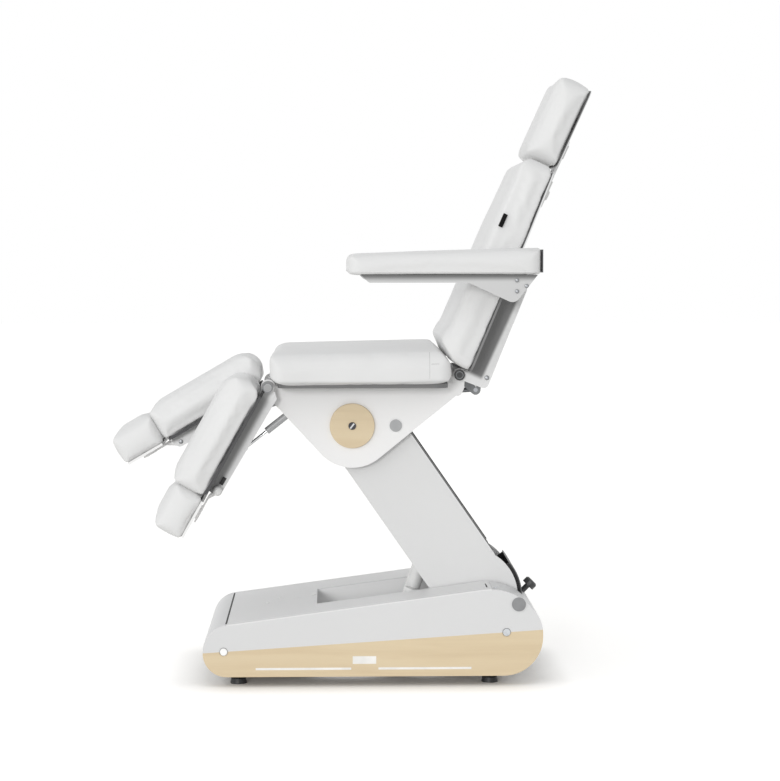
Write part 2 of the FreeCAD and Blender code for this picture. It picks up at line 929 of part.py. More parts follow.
def make_levelling_feet():
    feet = []
    length = rail_bottom_z + rail_wall - foot_height
    for x, y in foot_places():
        pad = Part.makeCone(foot_radius, foot_radius * foot_taper_share, foot_height, Vec(x, y, 0))
        stem = Part.makeCylinder(foot_stem_radius, length, Vec(x, y, foot_height))
        feet.append(joined(pad, stem))
    return feet


def make_base_caps():
    cap = cross_bar(link_pivot, -base_half_width - base_cap_height, -base_half_width, base_cap_radius)
    return pair(cap)


def make_panel_screws():
    screws = []
    for point in side_screw_places():
        floor_y = base_half_width - side_screw_height
        screws += pair(cross_bar(point, -base_half_width - side_screw_height, -floor_y, side_screw_radius))
    return screws


def make_control_box():
    half = control_box_width / 2
    x1 = control_box_x + control_box_length
    top = rail_top_z + control_box_height
    body = box(control_box_x, x1, -half, half, rail_top_z, top)
    upright = [e for e in body.Edges if abs(e.Vertexes[0].Z - e.Vertexes[1].Z) > control_box_height / 2]
    body = body.makeChamfer(2 * control_box_lid, upright)
    seam = box(control_box_x, x1, -half, half, top - 2 * control_box_lid, top - control_box_lid)
    core = box(control_box_x + control_box_lid, x1 - control_box_lid, -half + control_box_lid,
               half - control_box_lid, rail_top_z, top)
    shelf = box(control_box_x, x1, -rail_inner_y, rail_inner_y, rail_top_z - rail_wall, rail_top_z)
    return joined(cut(body, cut(seam, core)), shelf)


def make_mains_inlet():
    reach = base_rear_x - cover_wall
    half_w = inlet_width / 2 - hinge_fit
    half_h = inlet_height / 2 - hinge_fit
    body = box(reach - inlet_depth, base_rear_x, inlet_y - half_w, inlet_y + half_w, inlet_z - half_h,
               inlet_z + half_h)
    low = inlet_z - half_h + inlet_flange
    high = inlet_z + half_h - inlet_flange
    well = box(base_rear_x - inlet_depth, base_rear_x + overrun, inlet_y - half_w + inlet_flange,
               inlet_y + half_w - inlet_flange, low, high)
    inlet = cut(body, well)
    outside = cut(box(base_front_x, base_rear_x + overrun, 0, base_half_width, 0, base_crest_z),
                  base_solid(0, base_half_width))
    return cut(inlet, outside)


# Knob turning in the sloping tail of the base
def knob_seat():
    corner_low = (base_rear_x, base_underside + base_rear_height)
    corner_high = (base_crest_x, base_crest_z)
    share = (corner_low[0] - knob_x) / (corner_low[0] - corner_high[0])
    return (knob_x, corner_low[1] + share * (corner_high[1] - corner_low[1]))


def make_rear_knob():
    rows = (
        (knob_head_radius, knob_stem_length),
        (knob_head_radius, knob_stem_length + knob_head_length - knob_head_chamfer),
        (knob_head_radius - knob_head_chamfer, knob_stem_length + knob_head_length),
    )
    head = faceted(rows)
    head.rotate(Vec(0, 0, 0), Vec(0, 0, 1), -90)
    root = -2 * cover_wall
    stem = Part.makeCylinder(knob_stem_radius, knob_stem_length - root, Vec(root, 0, 0), Vec(1, 0, 0))
    return placed(joined(head, stem), knob_seat(), knob_angle)


def knob_hole():
    bore = Part.makeCylinder(knob_stem_radius + running_gap, overrun, Vec(-overrun / 2, 0, 0), Vec(1, 0, 0))
    return placed(bore, knob_seat(), knob_angle)


# Lift arm

def arm_outline():
    return belt_wire([
        (0, 0, arm_drum_toe_radius),
        (arm_rear_start_s, -arm_rear_n + arm_rear_corner_radius, arm_rear_corner_radius),
        (arm_rear_end_s, -arm_rear_n + arm_rear_corner_radius, arm_rear_corner_radius),
        (arm_length, 0, arm_boss_radius),
        (arm_front_end_s, arm_front_n - arm_front_corner_radius, arm_front_corner_radius),
    ])


def arm_side_plate():
    plate = slab(arm_outline(), arm_plate_inner_y, arm_plate_outer_y)
    drum = cross_bar((0, 0), arm_plate_inner_y, arm_plate_outer_y, arm_drum_radius)
    reach = arm_drum_radius + overrun
    drum = cut(drum, box(-reach, reach, 0, reach, arm_front_n, reach))
    plate = joined(plate, drum)
    for s in (0, arm_length):
        plate = cut(plate, cross_bar((s, 0), 0, arm_plate_outer_y + overrun, pivot_bush_radius))
    return plate


def arm_pin_local():
    turn = actuator_arm_angle - arm_angle
    return polar((0, 0), actuator_pin_circle_radius, turn)


def make_lift_arm():
    pieces = pair(arm_side_plate())
    inner = arm_plate_inner_y
    web_top = arm_front_n - arm_front_corner_radius
    pieces.append(box(arm_cover_start_s, arm_cover_end_s, -inner, inner, web_top,
                      web_top + arm_cover_wall))
    pieces.append(box(arm_web_s, arm_web_s + arm_cover_wall, -inner, inner, web_top - arm_web_depth,
                      web_top))
    pin = arm_pin_local()
    foot_end = gusset_foot_start_s + gusset_foot_length
    gusset = slab(belt_wire([(pin[0], pin[1], gusset_pin_radius),
                             (foot_end, web_top - gusset_wall, gusset_wall),
                             (gusset_foot_start_s + gusset_wall, web_top - gusset_wall, gusset_wall)]),
                  gusset_inner_y, gusset_inner_y + gusset_wall)
    gusset = cut(gusset, cross_bar(pin, 0, overrun, actuator_pin_radius))
    pieces += pair(gusset)
    return placed(joined(*pieces), arm_pivot, arm_angle)


def make_arm_edge_trim():
    outer = arm_plate_outer_y + trim_lip
    inner = arm_plate_inner_y - trim_lip
    low = -arm_rear_n - trim_proud
    strip = box(trim_start_s, arm_rear_end_s, inner, outer, low, -arm_rear_n + trim_depth)
    slot = box(trim_start_s - overrun, arm_rear_end_s + overrun, arm_plate_inner_y, arm_plate_outer_y,
               -arm_rear_n, overrun)
    return [placed(piece, arm_pivot, arm_angle) for piece in pair(cut(strip, slot))]


# Stub axles at the two arm pivots: the lower ones stay in the base, the upper ones in the seat
def make_base_axles():
    start = arm_plate_inner_y
    end = bearing_inner_y + bearing_wall + panel_gap * 3
    axle = cross_bar(arm_pivot, start, end, pivot_axle_radius)
    bush = cross_bar(arm_pivot, bearing_inner_y, end, pivot_bush_radius)
    return pair(joined(axle, bush))


def make_seat_axles():
    return pair(cross_bar(seat_pivot, arm_plate_inner_y, seat_plate_outer_y, pivot_axle_radius))


def make_arm_bushes():
    bushes = []
    for s in (0, arm_length):
        bush = cross_bar((s, 0), arm_plate_inner_y, arm_plate_outer_y + trim_lip, pivot_bush_radius)
        bore = cross_bar((s, 0), 0, seat_plate_outer_y + overrun, pivot_axle_radius + hinge_fit)
        bushes += pair(placed(cut(bush, bore), arm_pivot, arm_angle))
    return bushes


# Lift actuator

def lift_drive():
    base = polar(arm_pivot, actuator_pin_circle_radius, actuator_base_angle)
    top = polar(arm_pivot, actuator_pin_circle_radius, actuator_arm_angle)
    heading = math.degrees(math.atan2(top[1] - base[1], top[0] - base[0]))
    return base, top, heading


def make_lift_actuator_tube():
    base, top, heading = lift_drive()
    tube = long_bar(base, heading, 0, actuator_tube_start, actuator_tube_end, actuator_tube_radius)
    neck = long_bar(base, heading, 0, 0, actuator_tube_start, actuator_eye_radius)
    eye = cross_bar(base, -actuator_eye_half_width, actuator_eye_half_width, actuator_eye_radius)
    motor = long_bar(base, heading, -motor_offset, motor_start, motor_start + motor_length, motor_radius)
    wide = actuator_tube_radius
    gearbox = placed(box(actuator_tube_start, bore_floor(), -motor_offset - motor_radius, wide, -wide,
                         wide), base, heading)
    body = joined(tube, neck, gearbox, motor, eye)
    bore = long_bar(base, heading, 0, actuator_bore_start, actuator_tube_end + overrun,
                    actuator_rod_radius + running_gap)
    hole = cross_bar(base, -overrun, overrun, actuator_pin_radius + hinge_fit)
    return cut(body, bore, hole)


def bore_floor():
    return actuator_bore_start - cover_wall


def make_lift_actuator_rod():
    base, top, heading = lift_drive()
    full = math.hypot(top[0] - base[0], top[1] - base[1])
    rod = long_bar(base, heading, 0, full - actuator_rod_length, full, actuator_rod_radius)
    reach = gusset_inner_y - clevis_gap
    eye = cross_bar(top, -reach, reach, actuator_eye_radius)
    return cut(joined(rod, eye), cross_bar(top, -overrun, overrun, actuator_pin_radius + hinge_fit))


def make_actuator_pins_base():
    base, top, heading = lift_drive()
    reach = actuator_eye_half_width + clevis_gap + clevis_wall
    return cross_bar(base, -reach, reach, actuator_pin_radius)


def make_actuator_pins_arm():
    base, top, heading = lift_drive()
    reach = gusset_inner_y + gusset_wall
    return cross_bar(top, -reach, reach, actuator_pin_radius)


# Rear link

def make_rear_link():
    outer = link_bar_inner_y + link_bar_wall
    circles = [(0, 0, link_bar_radius), (arm_length, 0, link_bar_radius)]
    bar = slab(belt_wire(circles), link_bar_inner_y, outer)
    for s in (0, arm_length):
        bar = cut(bar, cross_bar((s, 0), 0, outer + overrun, link_axle_radius + link_hole_gap(s)))
    tube_s = arm_length * link_tube_share
    brace = cross_bar((tube_s, 0), -link_bar_inner_y, link_bar_inner_y, link_tube_radius)
    return placed(joined(bar, mirrored(bar), brace), link_pivot, arm_angle)


def link_hole_gap(s):
    return link_open_gap if s > 0 else hinge_fit


def make_link_axles_base():
    return pair(cross_bar(link_pivot, link_bar_inner_y - cover_wall, link_lug_inner_y + link_lug_wall,
                          link_axle_radius))


def make_link_axles_seat():
    return pair(cross_bar(seat_link_pivot, link_bar_inner_y - cover_wall, link_lug_inner_y + link_lug_wall,
                          link_axle_radius))


# Seat frame

def make_seat_plate():
    circles = [(leg_hinge_x, leg_hinge_z, leg_ear_radius), (seat_pivot_x, seat_pivot_z, disc_boss_radius),
               (seat_corner_x, seat_corner_z, seat_corner_radius)]
    plate = slab(belt_wire(circles), seat_plate_inner_y, seat_plate_outer_y)
    top = box(leg_hinge_x - overrun, seat_board_rear_x + cover_wall, 0, seat_plate_outer_y + overrun,
              seat_board_bottom, seat_board_bottom + overrun)
    leg_ear = cross_bar(leg_hinge, seat_plate_inner_y, seat_plate_outer_y, leg_ear_radius)
    ear = slab(belt_wire([(back_hinge_x, back_hinge_z, back_ear_radius),
                          (seat_corner_x - seat_corner_radius / 2, seat_corner_z - seat_corner_radius,
                           seat_corner_radius),
                          (seat_corner_x, seat_corner_z, seat_corner_radius)]),
               seat_plate_inner_y, seat_plate_outer_y)
    plate = joined(cut(plate, top), ear, leg_ear)
    plate = cut(plate, cross_bar(leg_hinge, 0, seat_plate_outer_y + overrun, leg_tube_radius),
                cross_bar(back_hinge, 0, seat_plate_outer_y + overrun, back_tube_radius),
                cross_bar(seat_pivot, 0, seat_plate_outer_y + overrun, pivot_axle_radius))
    return mirrored(plate)


def seat_tube(x):
    bottom = seat_board_bottom - seat_tube_height
    half = seat_plate_inner_y
    tube = box(x, x + seat_tube_width, -half, half, bottom, seat_board_bottom)
    wall = cover_wall
    return cut(tube, box(x + wall, x + seat_tube_width - wall, -half - overrun, half + overrun,
                         bottom + wall, seat_board_bottom - wall))


def make_seat_crossframe():
    low = seat_board_bottom - seat_subplate_wall
    rear = seat_tube_rear_x + cover_wall
    plate = box(seat_subplate_front_x, rear, -seat_subplate_half_width, seat_subplate_half_width,
                low, seat_board_bottom)
    outer = link_lug_inner_y + link_lug_wall
    lug = slab(belt_wire([(seat_link_pivot[0], seat_link_pivot[1], link_lug_radius),
                          (seat_link_pivot[0] + 2 * link_lug_radius, low - rail_wall, rail_wall),
                          (seat_link_pivot[0] - 2 * link_lug_radius, low - rail_wall, rail_wall)]),
               link_lug_inner_y, outer)
    lug = joined(lug, box(seat_link_pivot[0] - 2 * link_lug_radius,
                          seat_link_pivot[0] + 2 * link_lug_radius,
                          link_lug_inner_y, outer, low - rail_wall, low))
    lug = cut(lug, cross_bar(seat_link_pivot, 0, outer + overrun, link_axle_radius))
    pin = (back_drive_pin_x, back_drive_pin_z)
    start = back_drive_eye_half_width + clevis_gap
    clevis = slab(belt_wire([(pin[0], pin[1], back_drive_eye_radius),
                             (pin[0] + 2 * back_drive_eye_radius, seat_board_bottom - rail_wall, rail_wall),
                             (pin[0] - 2 * back_drive_eye_radius, seat_board_bottom - rail_wall,
                              rail_wall)]),
                  start, start + clevis_wall)
    clevis = cut(clevis, cross_bar(pin, 0, overrun, back_drive_pin_radius))
    reach = start + clevis_wall
    strap = box(seat_tube_front_x + seat_tube_width - cover_wall, pin[0] + 3 * back_drive_eye_radius,
                -reach, reach, seat_board_bottom - cover_wall, seat_board_bottom)
    notch_half = lever_inner_y + lever_wall + clevis_gap
    notch = box(seat_tube_rear_x - overrun, seat_tube_rear_x + seat_tube_width + overrun, -notch_half,
                notch_half, seat_board_bottom - seat_tube_height - overrun, low)
    rear_tube = cut(seat_tube(seat_tube_rear_x), notch)
    pieces = [plate, seat_tube(seat_tube_front_x), rear_tube, strap]
    return joined(*(pieces + pair(lug) + pair(clevis)))


def make_back_drive_pin():
    pin = (back_drive_pin_x, back_drive_pin_z)
    reach = back_drive_eye_half_width + clevis_gap + clevis_wall
    return cross_bar(pin, -reach, reach, back_drive_pin_radius)


def make_seat_board():
    board = box(seat_board_front_x, seat_board_rear_x, -seat_board_half_width, seat_board_half_width,
                seat_board_bottom, seat_board_bottom + seat_board_wall)
    corners = [e for e in board.Edges if abs(e.Vertexes[0].Z - e.Vertexes[1].Z) > seat_board_wall / 2]
    return board.makeFillet(seat_cushion_plan_radius, corners)


def make_leg_hinge_tube():
    tube = cross_bar(leg_hinge, -leg_tube_half_length, leg_tube_half_length, leg_tube_radius)
    return cut(tube, cross_bar(leg_hinge, -leg_tube_half_length - overrun, leg_tube_half_length + overrun,
                               leg_tube_radius - leg_tube_wall))


def make_back_hinge_tube():
    return cross_bar(back_hinge, -back_tube_half_length, back_tube_half_length, back_tube_radius)


def make_wood_disc():
    disc = cross_bar(seat_pivot, -seat_plate_outer_y - disc_wall, -seat_plate_outer_y, disc_radius)
    rim = [e for e in disc.Edges if hasattr(e.Curve, "Radius")
           and e.CenterOfMass.y < -seat_plate_outer_y - disc_wall / 2]
    return disc.makeChamfer(disc_edge_chamfer, rim)


def make_disc_screw():
    face = seat_plate_outer_y + disc_wall
    screw = cross_bar(seat_pivot, -face - disc_screw_height, -face, disc_screw_radius)
    slot = box(seat_pivot_x - disc_screw_radius, seat_pivot_x + disc_screw_radius, -face - overrun,
               -face - disc_screw_height + disc_slot_depth, seat_pivot_z - disc_slot_width / 2,
               seat_pivot_z + disc_slot_width / 2)
    return cut(screw, slot)


def make_seat_cap():
    return cross_bar(seat_link_pivot, -seat_plate_outer_y - seat_cap_height, -seat_plate_outer_y,
                     seat_cap_radius)


def make_seat_cushion():
    top = seat_cushion_bottom + seat_cushion_height
    front_top = top - seat_cushion_front_step * 0.5
    corners = [
        (seat_cushion_front_x + seat_cushion_front_step, seat_cushion_bottom, 0),
        (seat_cushion_rear_x - seat_cushion_draw, seat_cushion_bottom + seat_cushion_draw / 2, 0),
        (seat_cushion_rear_x, seat_cushion_bottom + seat_cushion_skirt_height, seat_cushion_draw),
        (seat_cushion_rear_x - seat_cushion_draw / 2, top - seat_cushion_rear_step, seat_cushion_edge / 2),
        (seat_cushion_rear_x - seat_cushion_rear_run, top, seat_cushion_edge / 2),
        (seat_cushion_front_x, front_top, seat_cushion_edge),
        (seat_cushion_front_x, seat_cushion_bottom + seat_cushion_front_lift, seat_cushion_draw),
    ]
    shoulder = front_top - seat_cushion_crown
    return cushion(rounded_wire(corners), -seat_cushion_half_width, seat_cushion_half_width,
                   seat_cushion_bottom, shoulder, seat_cushion_crown, seat_cushion_edge,
                   seat_cushion_draw, seat_cushion_plan_radius, seat_cushion_rise_angle)


# Back

def back_board_v(u):
    share = (u - back_board_start_u) / (back_board_end_u - back_board_start_u)
    return back_board_start_v + share * (back_board_end_v - back_board_start_v)


def back_half_width(u):
    if u < back_cushion_mid_u:
        share = (u - back_cushion_start_u) / (back_cushion_mid_u - back_cushion_start_u)
        return back_low_half_width + share * (back_mid_half_width - back_low_half_width)
    share = (u - back_cushion_mid_u) / (back_cushion_end_u - back_cushion_mid_u)
    return back_mid_half_width + share * (back_top_half_width - back_mid_half_width)


# Plan of the back seen from the front, as a prism along v
def back_plan(margin, reach):
    rows = (back_cushion_start_u, back_cushion_mid_u, back_cushion_end_u)
    corners = []
    start = rows[0] + margin * low_margin_share
    end = rows[2] - margin
    widths = (back_low_half_width - margin, back_mid_half_width - margin, back_top_half_width - margin)
    corners.append((start, -widths[0], back_cushion_edge))
    corners.append((rows[1], -widths[1], 0))
    corners.append((end, -widths[2], back_plan_top_radius))
    corners.append((end, widths[2], back_plan_top_radius))
    corners.append((rows[1], widths[1], 0))
    corners.append((start, widths[0], back_cushion_edge))
    plan = slab(rounded_wire(corners), -reach, reach)
    plan.rotate(Vec(0, 0, 0), Vec(1, 0, 0), 90)
    return plan


def back_side_plate():
    board_rear = back_board_v(back_plate_tip_u) - back_board_wall
    foot_rear = back_board_v(back_plate_foot_u) - back_board_wall
    corners = [
        (-back_ear_front, back_ear_front, back_ear_front - trim_lip),
        (-back_plate_heel_u, -back_plate_depth, back_plate_corner_radius),
        (back_plate_top_u, -back_plate_top_v, back_plate_corner_radius),
        (back_plate_tip_u, board_rear, 0),
        (back_plate_foot_u, foot_rear, 0),
        (back_ear_front, back_ear_front, back_ear_front - trim_lip),
    ]
    plate = slab(rounded_wire(corners), back_plate_inner_y, back_plate_outer_y)
    sleeve = cross_bar((0, 0), seat_plate_outer_y + trim_lip, back_plate_outer_y + trim_lip,
                       back_ear_front + cover_wall)
    bore = cross_bar((0, 0), 0, back_plate_outer_y + overrun, back_tube_radius + hinge_fit)
    return cut(joined(plate, sleeve), bore)


def back_cross_tube(u):
    v = back_board_v(u) - back_board_wall
    half = back_plate_inner_y
    tube = box(u, u + back_cross_width, -half, half, v - back_cross_depth, v)
    wall = cover_wall
    return cut(tube, box(u + wall, u + back_cross_width - wall, -half - overrun, half + overrun,
                         v - back_cross_depth + wall, v - wall))


def lever_pin_local():
    turn = math.radians(back_lean_angle)
    dx = lever_pin_x - back_hinge_x
    dz = lever_pin_z - back_hinge_z
    return (dx * math.cos(turn) + dz * math.sin(turn), -dx * math.sin(turn) + dz * math.cos(turn))


def make_back_frame():
    plate = back_side_plate()
    pieces = pair(plate) + [back_cross_tube(back_cross_low_u), back_cross_tube(back_cross_high_u)]
    pin = lever_pin_local()
    tube_v = back_board_v(back_cross_low_u) - back_board_wall - back_cross_depth / 2
    boss_u = back_cross_low_u + back_cross_width - lever_pin_boss
    circles = [(0, 0, lever_root_radius), (pin[0], pin[1], lever_pin_boss),
               (boss_u, tube_v - lever_pin_boss / 2, lever_pin_boss)]
    lever = slab(belt_wire(circles), lever_inner_y, lever_inner_y + lever_wall)
    reach_u = back_cross_low_u + 2 * back_cross_width
    clear = [
        (back_plate_foot_u, overrun, 0),
        (back_plate_foot_u, back_board_v(back_plate_foot_u) - back_board_wall, 0),
        (reach_u, back_board_v(reach_u) - back_board_wall, 0),
        (reach_u, overrun, 0),
    ]
    lever = cut(lever, slab(rounded_wire(clear), 0, lever_inner_y + overrun))
    sleeve = cross_bar((0, 0), -back_sleeve_half_length, back_sleeve_half_length, back_sleeve_radius)
    pieces += pair(lever) + [sleeve]
    frame = joined(*pieces)
    frame = cut(frame, cross_bar((0, 0), -back_plate_outer_y - overrun, back_plate_outer_y + overrun,
                                 back_tube_radius + hinge_fit),
                cross_bar(pin, -overrun, overrun, back_drive_pin_radius))
    for side in (-1, 1):
        start = min(side * back_plate_inner_y, side * (hub_outer_y + bracket_wall))
        end = max(side * back_plate_inner_y, side * (hub_outer_y + bracket_wall))
        frame = joined(frame, cross_bar((hub_u, hub_v), start, end, hub_radius))
    return placed(frame, back_hinge, back_lean_angle)


def make_lever_pin():
    reach = lever_inner_y + lever_wall
    return cross_bar((lever_pin_x, lever_pin_z), -reach, reach, back_drive_pin_radius)


def make_back_screws():
    screw = cross_bar((back_screw_u, back_screw_v), -back_plate_outer_y - back_screw_height,
                      -back_plate_outer_y, back_screw_radius)
    return [placed(piece, back_hinge, back_lean_angle) for piece in pair(screw)]


def make_back_board():
    corners = [
        (back_board_start_u, back_board_start_v, 0),
        (back_board_start_u, back_board_start_v - back_board_wall, 0),
        (back_board_end_u, back_board_end_v - back_board_wall, 0),
        (back_board_end_u, back_board_end_v, 0),
    ]
    board = slab(rounded_wire(corners), -back_low_half_width, back_low_half_width)
    board = board.common(back_plan(back_board_margin, back_cushion_front_v + overrun))
    return placed(board, back_hinge, back_lean_angle)


def back_cushion_block():
    rear_start = back_board_v(back_board_start_u)
    corners = [
        (back_cushion_start_u, back_cushion_foot_v, back_cushion_draw / 2),
        (back_board_start_u, rear_start + running_gap, 0),
        (back_board_end_u, back_board_end_v + running_gap, 0),
        (back_cushion_end_u, back_board_end_v + back_cushion_tail_radius / 2, back_cushion_tail_radius),
        (back_cushion_end_u, back_cushion_front_v, back_cushion_top_radius),
        (back_cushion_mid_u, back_cushion_front_v, back_cushion_edge),
        (back_cushion_waist_u, back_cushion_waist_v, back_cushion_edge),
        (back_cushion_lumbar_u, back_cushion_lumbar_v, back_cushion_edge / 2),
        (back_cushion_knee_u, back_cushion_knee_v, back_cushion_edge),
    ]
    lumbar = back_cushion_lumbar_v
    pad = cushion(rounded_wire(corners), -back_low_half_width, back_low_half_width,
                  back_board_start_v - back_board_wall, lumbar - back_cushion_crown, back_cushion_crown,
                  back_cushion_edge, back_cushion_draw, back_cushion_edge)
    return pad.common(back_plan(0, back_cushion_front_v + overrun))


def make_back_cushion():
    return placed(back_cushion_block(), back_hinge, back_lean_angle)


# Cloth tag lying on the skin of the back, where its side turns into its front
def make_back_tag():
    pad = back_cushion_block()
    skin = pad.copy()
    skin.translate(Vec(0, -tag_wall, tag_wall / 2))
    patch = box(tag_u, tag_u + tag_length, -back_low_half_width - overrun, 0, tag_v - tag_width / 2,
                tag_v + tag_width / 2)
    return placed(cut(patch.common(skin), pad), back_hinge, back_lean_angle)


# Back actuator

def back_drive():
    root = (back_drive_pin_x, back_drive_pin_z)
    tip = (lever_pin_x, lever_pin_z)
    heading = math.degrees(math.atan2(tip[1] - root[1], tip[0] - root[0]))
    return root, tip, heading


def make_back_actuator_tube():
    root, tip, heading = back_drive()
    tube = long_bar(root, heading, 0, back_drive_tube_start, back_drive_tube_end, back_drive_tube_radius)
    neck = long_bar(root, heading, 0, 0, back_drive_tube_start, back_drive_eye_half_width)
    eye = cross_bar(root, -back_drive_eye_half_width, back_drive_eye_half_width, back_drive_eye_radius)
    motor = long_bar(root, heading, back_motor_offset, back_motor_start,
                     back_motor_start + back_motor_length, back_motor_radius)
    gearbox = placed(box(back_drive_tube_start, back_motor_start + cover_wall, -back_drive_tube_radius,
                         back_motor_offset + back_motor_radius, -back_drive_tube_radius,
                         back_drive_tube_radius), root, heading)
    bore = long_bar(root, heading, 0, back_drive_bore_start, back_drive_tube_end + overrun,
                    back_drive_bore_radius)
    hole = cross_bar(root, -overrun, overrun, back_drive_pin_radius + hinge_fit)
    return cut(joined(tube, neck, eye, gearbox, motor), bore, hole)


def make_back_actuator_rod():
    root, tip, heading = back_drive()
    full = math.hypot(tip[0] - root[0], tip[1] - root[1])
    rod = long_bar(root, heading, 0, full - back_drive_rod_length, full, back_drive_rod_radius)
    reach = lever_inner_y - clevis_gap
    eye = cross_bar(tip, -reach, reach, back_drive_eye_radius)
    return cut(joined(rod, eye), cross_bar(tip, -overrun, overrun, back_drive_pin_radius + hinge_fit))


# Headrest

def make_head_cushion():
    corners = [
        (head_start_u, head_rear_v, head_draw),
        (head_end_u, head_rear_v, head_draw),
        (head_end_u, head_front_v, head_nose_radius),
        (head_start_u, head_front_v, head_edge),
    ]
    pad = cushion(rounded_wire(corners), -head_half_width, head_half_width, head_rear_v,
                  head_front_v - head_crown, head_crown, head_edge, head_draw, head_plan_radius)
    return placed(pad, back_hinge, back_lean_angle)


def make_headrest_frame():
    front = head_rear_v
    rear = head_rear_v - head_board_wall
    half = head_half_width - head_board_margin
    board = box(head_start_u + head_board_margin, head_end_u - head_board_margin, -half, half, rear, front)
    upright = [e for e in board.Edges if abs(e.Vertexes[0].Z - e.Vertexes[1].Z) > head_board_wall / 2]
    board = board.makeFillet(head_plan_radius - head_board_margin, upright)
    clamp_end = head_clamp_start_u + head_clamp_length
    reach = head_post_y + 2 * head_post_radius
    clamp = box(head_clamp_start_u, clamp_end, -reach, reach, head_post_v - head_post_radius - trim_lip,
                rear)
    pieces = [board, clamp]
    for side in (-1, 1):
        post = Part.makeCylinder(head_post_radius, head_post_end_u - head_post_start_u,
                                 Vec(head_post_start_u, side * head_post_y, head_post_v), Vec(1, 0, 0))
        pieces.append(post)
    return placed(joined(*pieces), back_hinge, back_lean_angle)


def make_headrest_guide():
    rear_line = [
        (guide_start_u, guide_rear_v, 0),
        (guide_start_u + guide_length, guide_rear_v, 0),
        (guide_start_u + guide_length, back_board_v(guide_start_u + guide_length) - back_board_wall, 0),
        (guide_start_u, back_board_v(guide_start_u) - back_board_wall, 0),
    ]
    block = slab(rounded_wire(rear_line), -guide_half_width, guide_half_width)
    for side in (-1, 1):
        block = cut(block, Part.makeCylinder(head_post_radius + hinge_fit * 2, guide_length + 2 * overrun,
                                             Vec(guide_start_u - overrun, side * head_post_y, head_post_v),
                                             Vec(1, 0, 0)))
    middle_u = guide_start_u + guide_length / 2
    hole = Part.makeCylinder(head_knob_stem_radius + hinge_fit, head_knob_stem_length,
                             Vec(middle_u, 0, guide_rear_v + head_knob_stem_length), Vec(0, 0, -1))
    return placed(cut(block, hole), back_hinge, back_lean_angle)


def make_head_lock_knob():
    rear = -guide_rear_v + running_gap
    rows = (
        (head_knob_radius, rear),
        (head_knob_radius - head_knob_taper, rear + head_knob_length),
    )
    head = faceted(rows)
    head.rotate(Vec(0, 0, 0), Vec(1, 0, 0), -90)
    root = rear - head_knob_stem_length + cover_wall
    stem = Part.makeCylinder(head_knob_stem_radius, head_knob_stem_length, Vec(0, 0, -root), Vec(0, 0, -1))
    knob = joined(head, stem)
    knob.translate(Vec(guide_start_u + guide_length / 2, 0, 0))
    return placed(knob, back_hinge, back_lean_angle)


# Armrests, built on the chair's left side

def hub_place():
    turn = math.radians(back_lean_angle)
    return (back_hinge_x + hub_u * math.cos(turn) - hub_v * math.sin(turn),
            back_hinge_z + hub_u * math.sin(turn) + hub_v * math.cos(turn))


def make_armrest_bracket():
    top = bracket_bottom_z + tray_height
    inner = tray_inner_y + tray_width
    corners = [
        (tray_front_x, top, 0),
        (tray_front_x + tray_chamfer, bracket_bottom_z, bracket_corner_radius),
        (bracket_slope_x, bracket_bottom_z, 0),
        (bracket_low_x, bracket_low_z, bracket_tip_radius),
        (bracket_rear_x, top, 0),
    ]
    plate = slab(rounded_wire(corners), inner, inner + bracket_wall)
    hub = hub_place()
    boss = cross_bar(hub, tray_inner_y, inner + bracket_wall, hub_collar_radius)
    bore = cross_bar(hub, 0, hub_outer_y + bracket_wall + running_gap, hub_radius + hinge_fit)
    return mirrored(cut(joined(plate, boss), bore))


def make_bracket_screws():
    places = (
        (bracket_screw_front_x, bracket_screw_top_z),
        (bracket_screw_rear_x, bracket_screw_rear_z),
        (bracket_screw_front_x, bracket_screw_low_z),
    )
    face = tray_inner_y + tray_width + bracket_wall
    return [cross_bar(place, -face - bracket_screw_height, -face, bracket_screw_radius) for place in places]


# Carrier under the pad, shorter than the side plate, and let out round the hub boss
def make_armrest_tray():
    top = bracket_bottom_z + tray_height
    corners = [
        (tray_front_x + tray_inset, top, 0),
        (tray_front_x + tray_chamfer + tray_inset, bracket_bottom_z, 0),
        (bracket_slope_x, bracket_bottom_z, 0),
        (bracket_screw_rear_x, top - tray_inset, 0),
        (bracket_screw_rear_x, top, 0),
    ]
    tray = slab(rounded_wire(corners), tray_inner_y, tray_inner_y + tray_width)
    return mirrored(cut(tray, cross_bar(hub_place(), 0, overrun + hub_outer_y, hub_collar_radius)))


# Plastic plate that closes the rear end of the pad
def make_pad_end_plate():
    bottom = bracket_bottom_z + tray_height
    plate = box(arm_pad_rear_x, arm_pad_rear_x + end_plate_wall, arm_pad_inner_y + arm_pad_edge,
                arm_pad_inner_y + arm_pad_width - arm_pad_edge, bottom + end_plate_margin,
                bottom + arm_pad_rear_height - end_plate_margin)
    return mirrored(plate)


def make_armrest_pad():
    bottom = bracket_bottom_z + tray_height
    corners = [
        (arm_pad_front_x, bottom, arm_pad_draw),
        (arm_pad_rear_x, bottom, arm_pad_draw),
        (arm_pad_rear_x, bottom + arm_pad_rear_height, arm_pad_edge / 2),
        (arm_pad_front_x, bottom + arm_pad_front_height, arm_pad_nose_radius),
    ]
    slope = math.degrees(math.atan2(arm_pad_rear_height - arm_pad_front_height,
                                    arm_pad_rear_x - arm_pad_front_x))
    pad = cushion(rounded_wire(corners), arm_pad_inner_y, arm_pad_inner_y + arm_pad_width, bottom,
                  bottom + arm_pad_front_height - arm_pad_crown, arm_pad_crown, arm_pad_edge, arm_pad_draw,
                  arm_pad_plan_radius, slope)
    under = box(arm_pad_front_x - overrun, arm_pad_rear_x + overrun, 0,
                arm_pad_inner_y + arm_pad_width + overrun, bottom - overrun, bottom)
    return mirrored(cut(pad, under))


# Legs, built flat on the chair's left side about their hinge

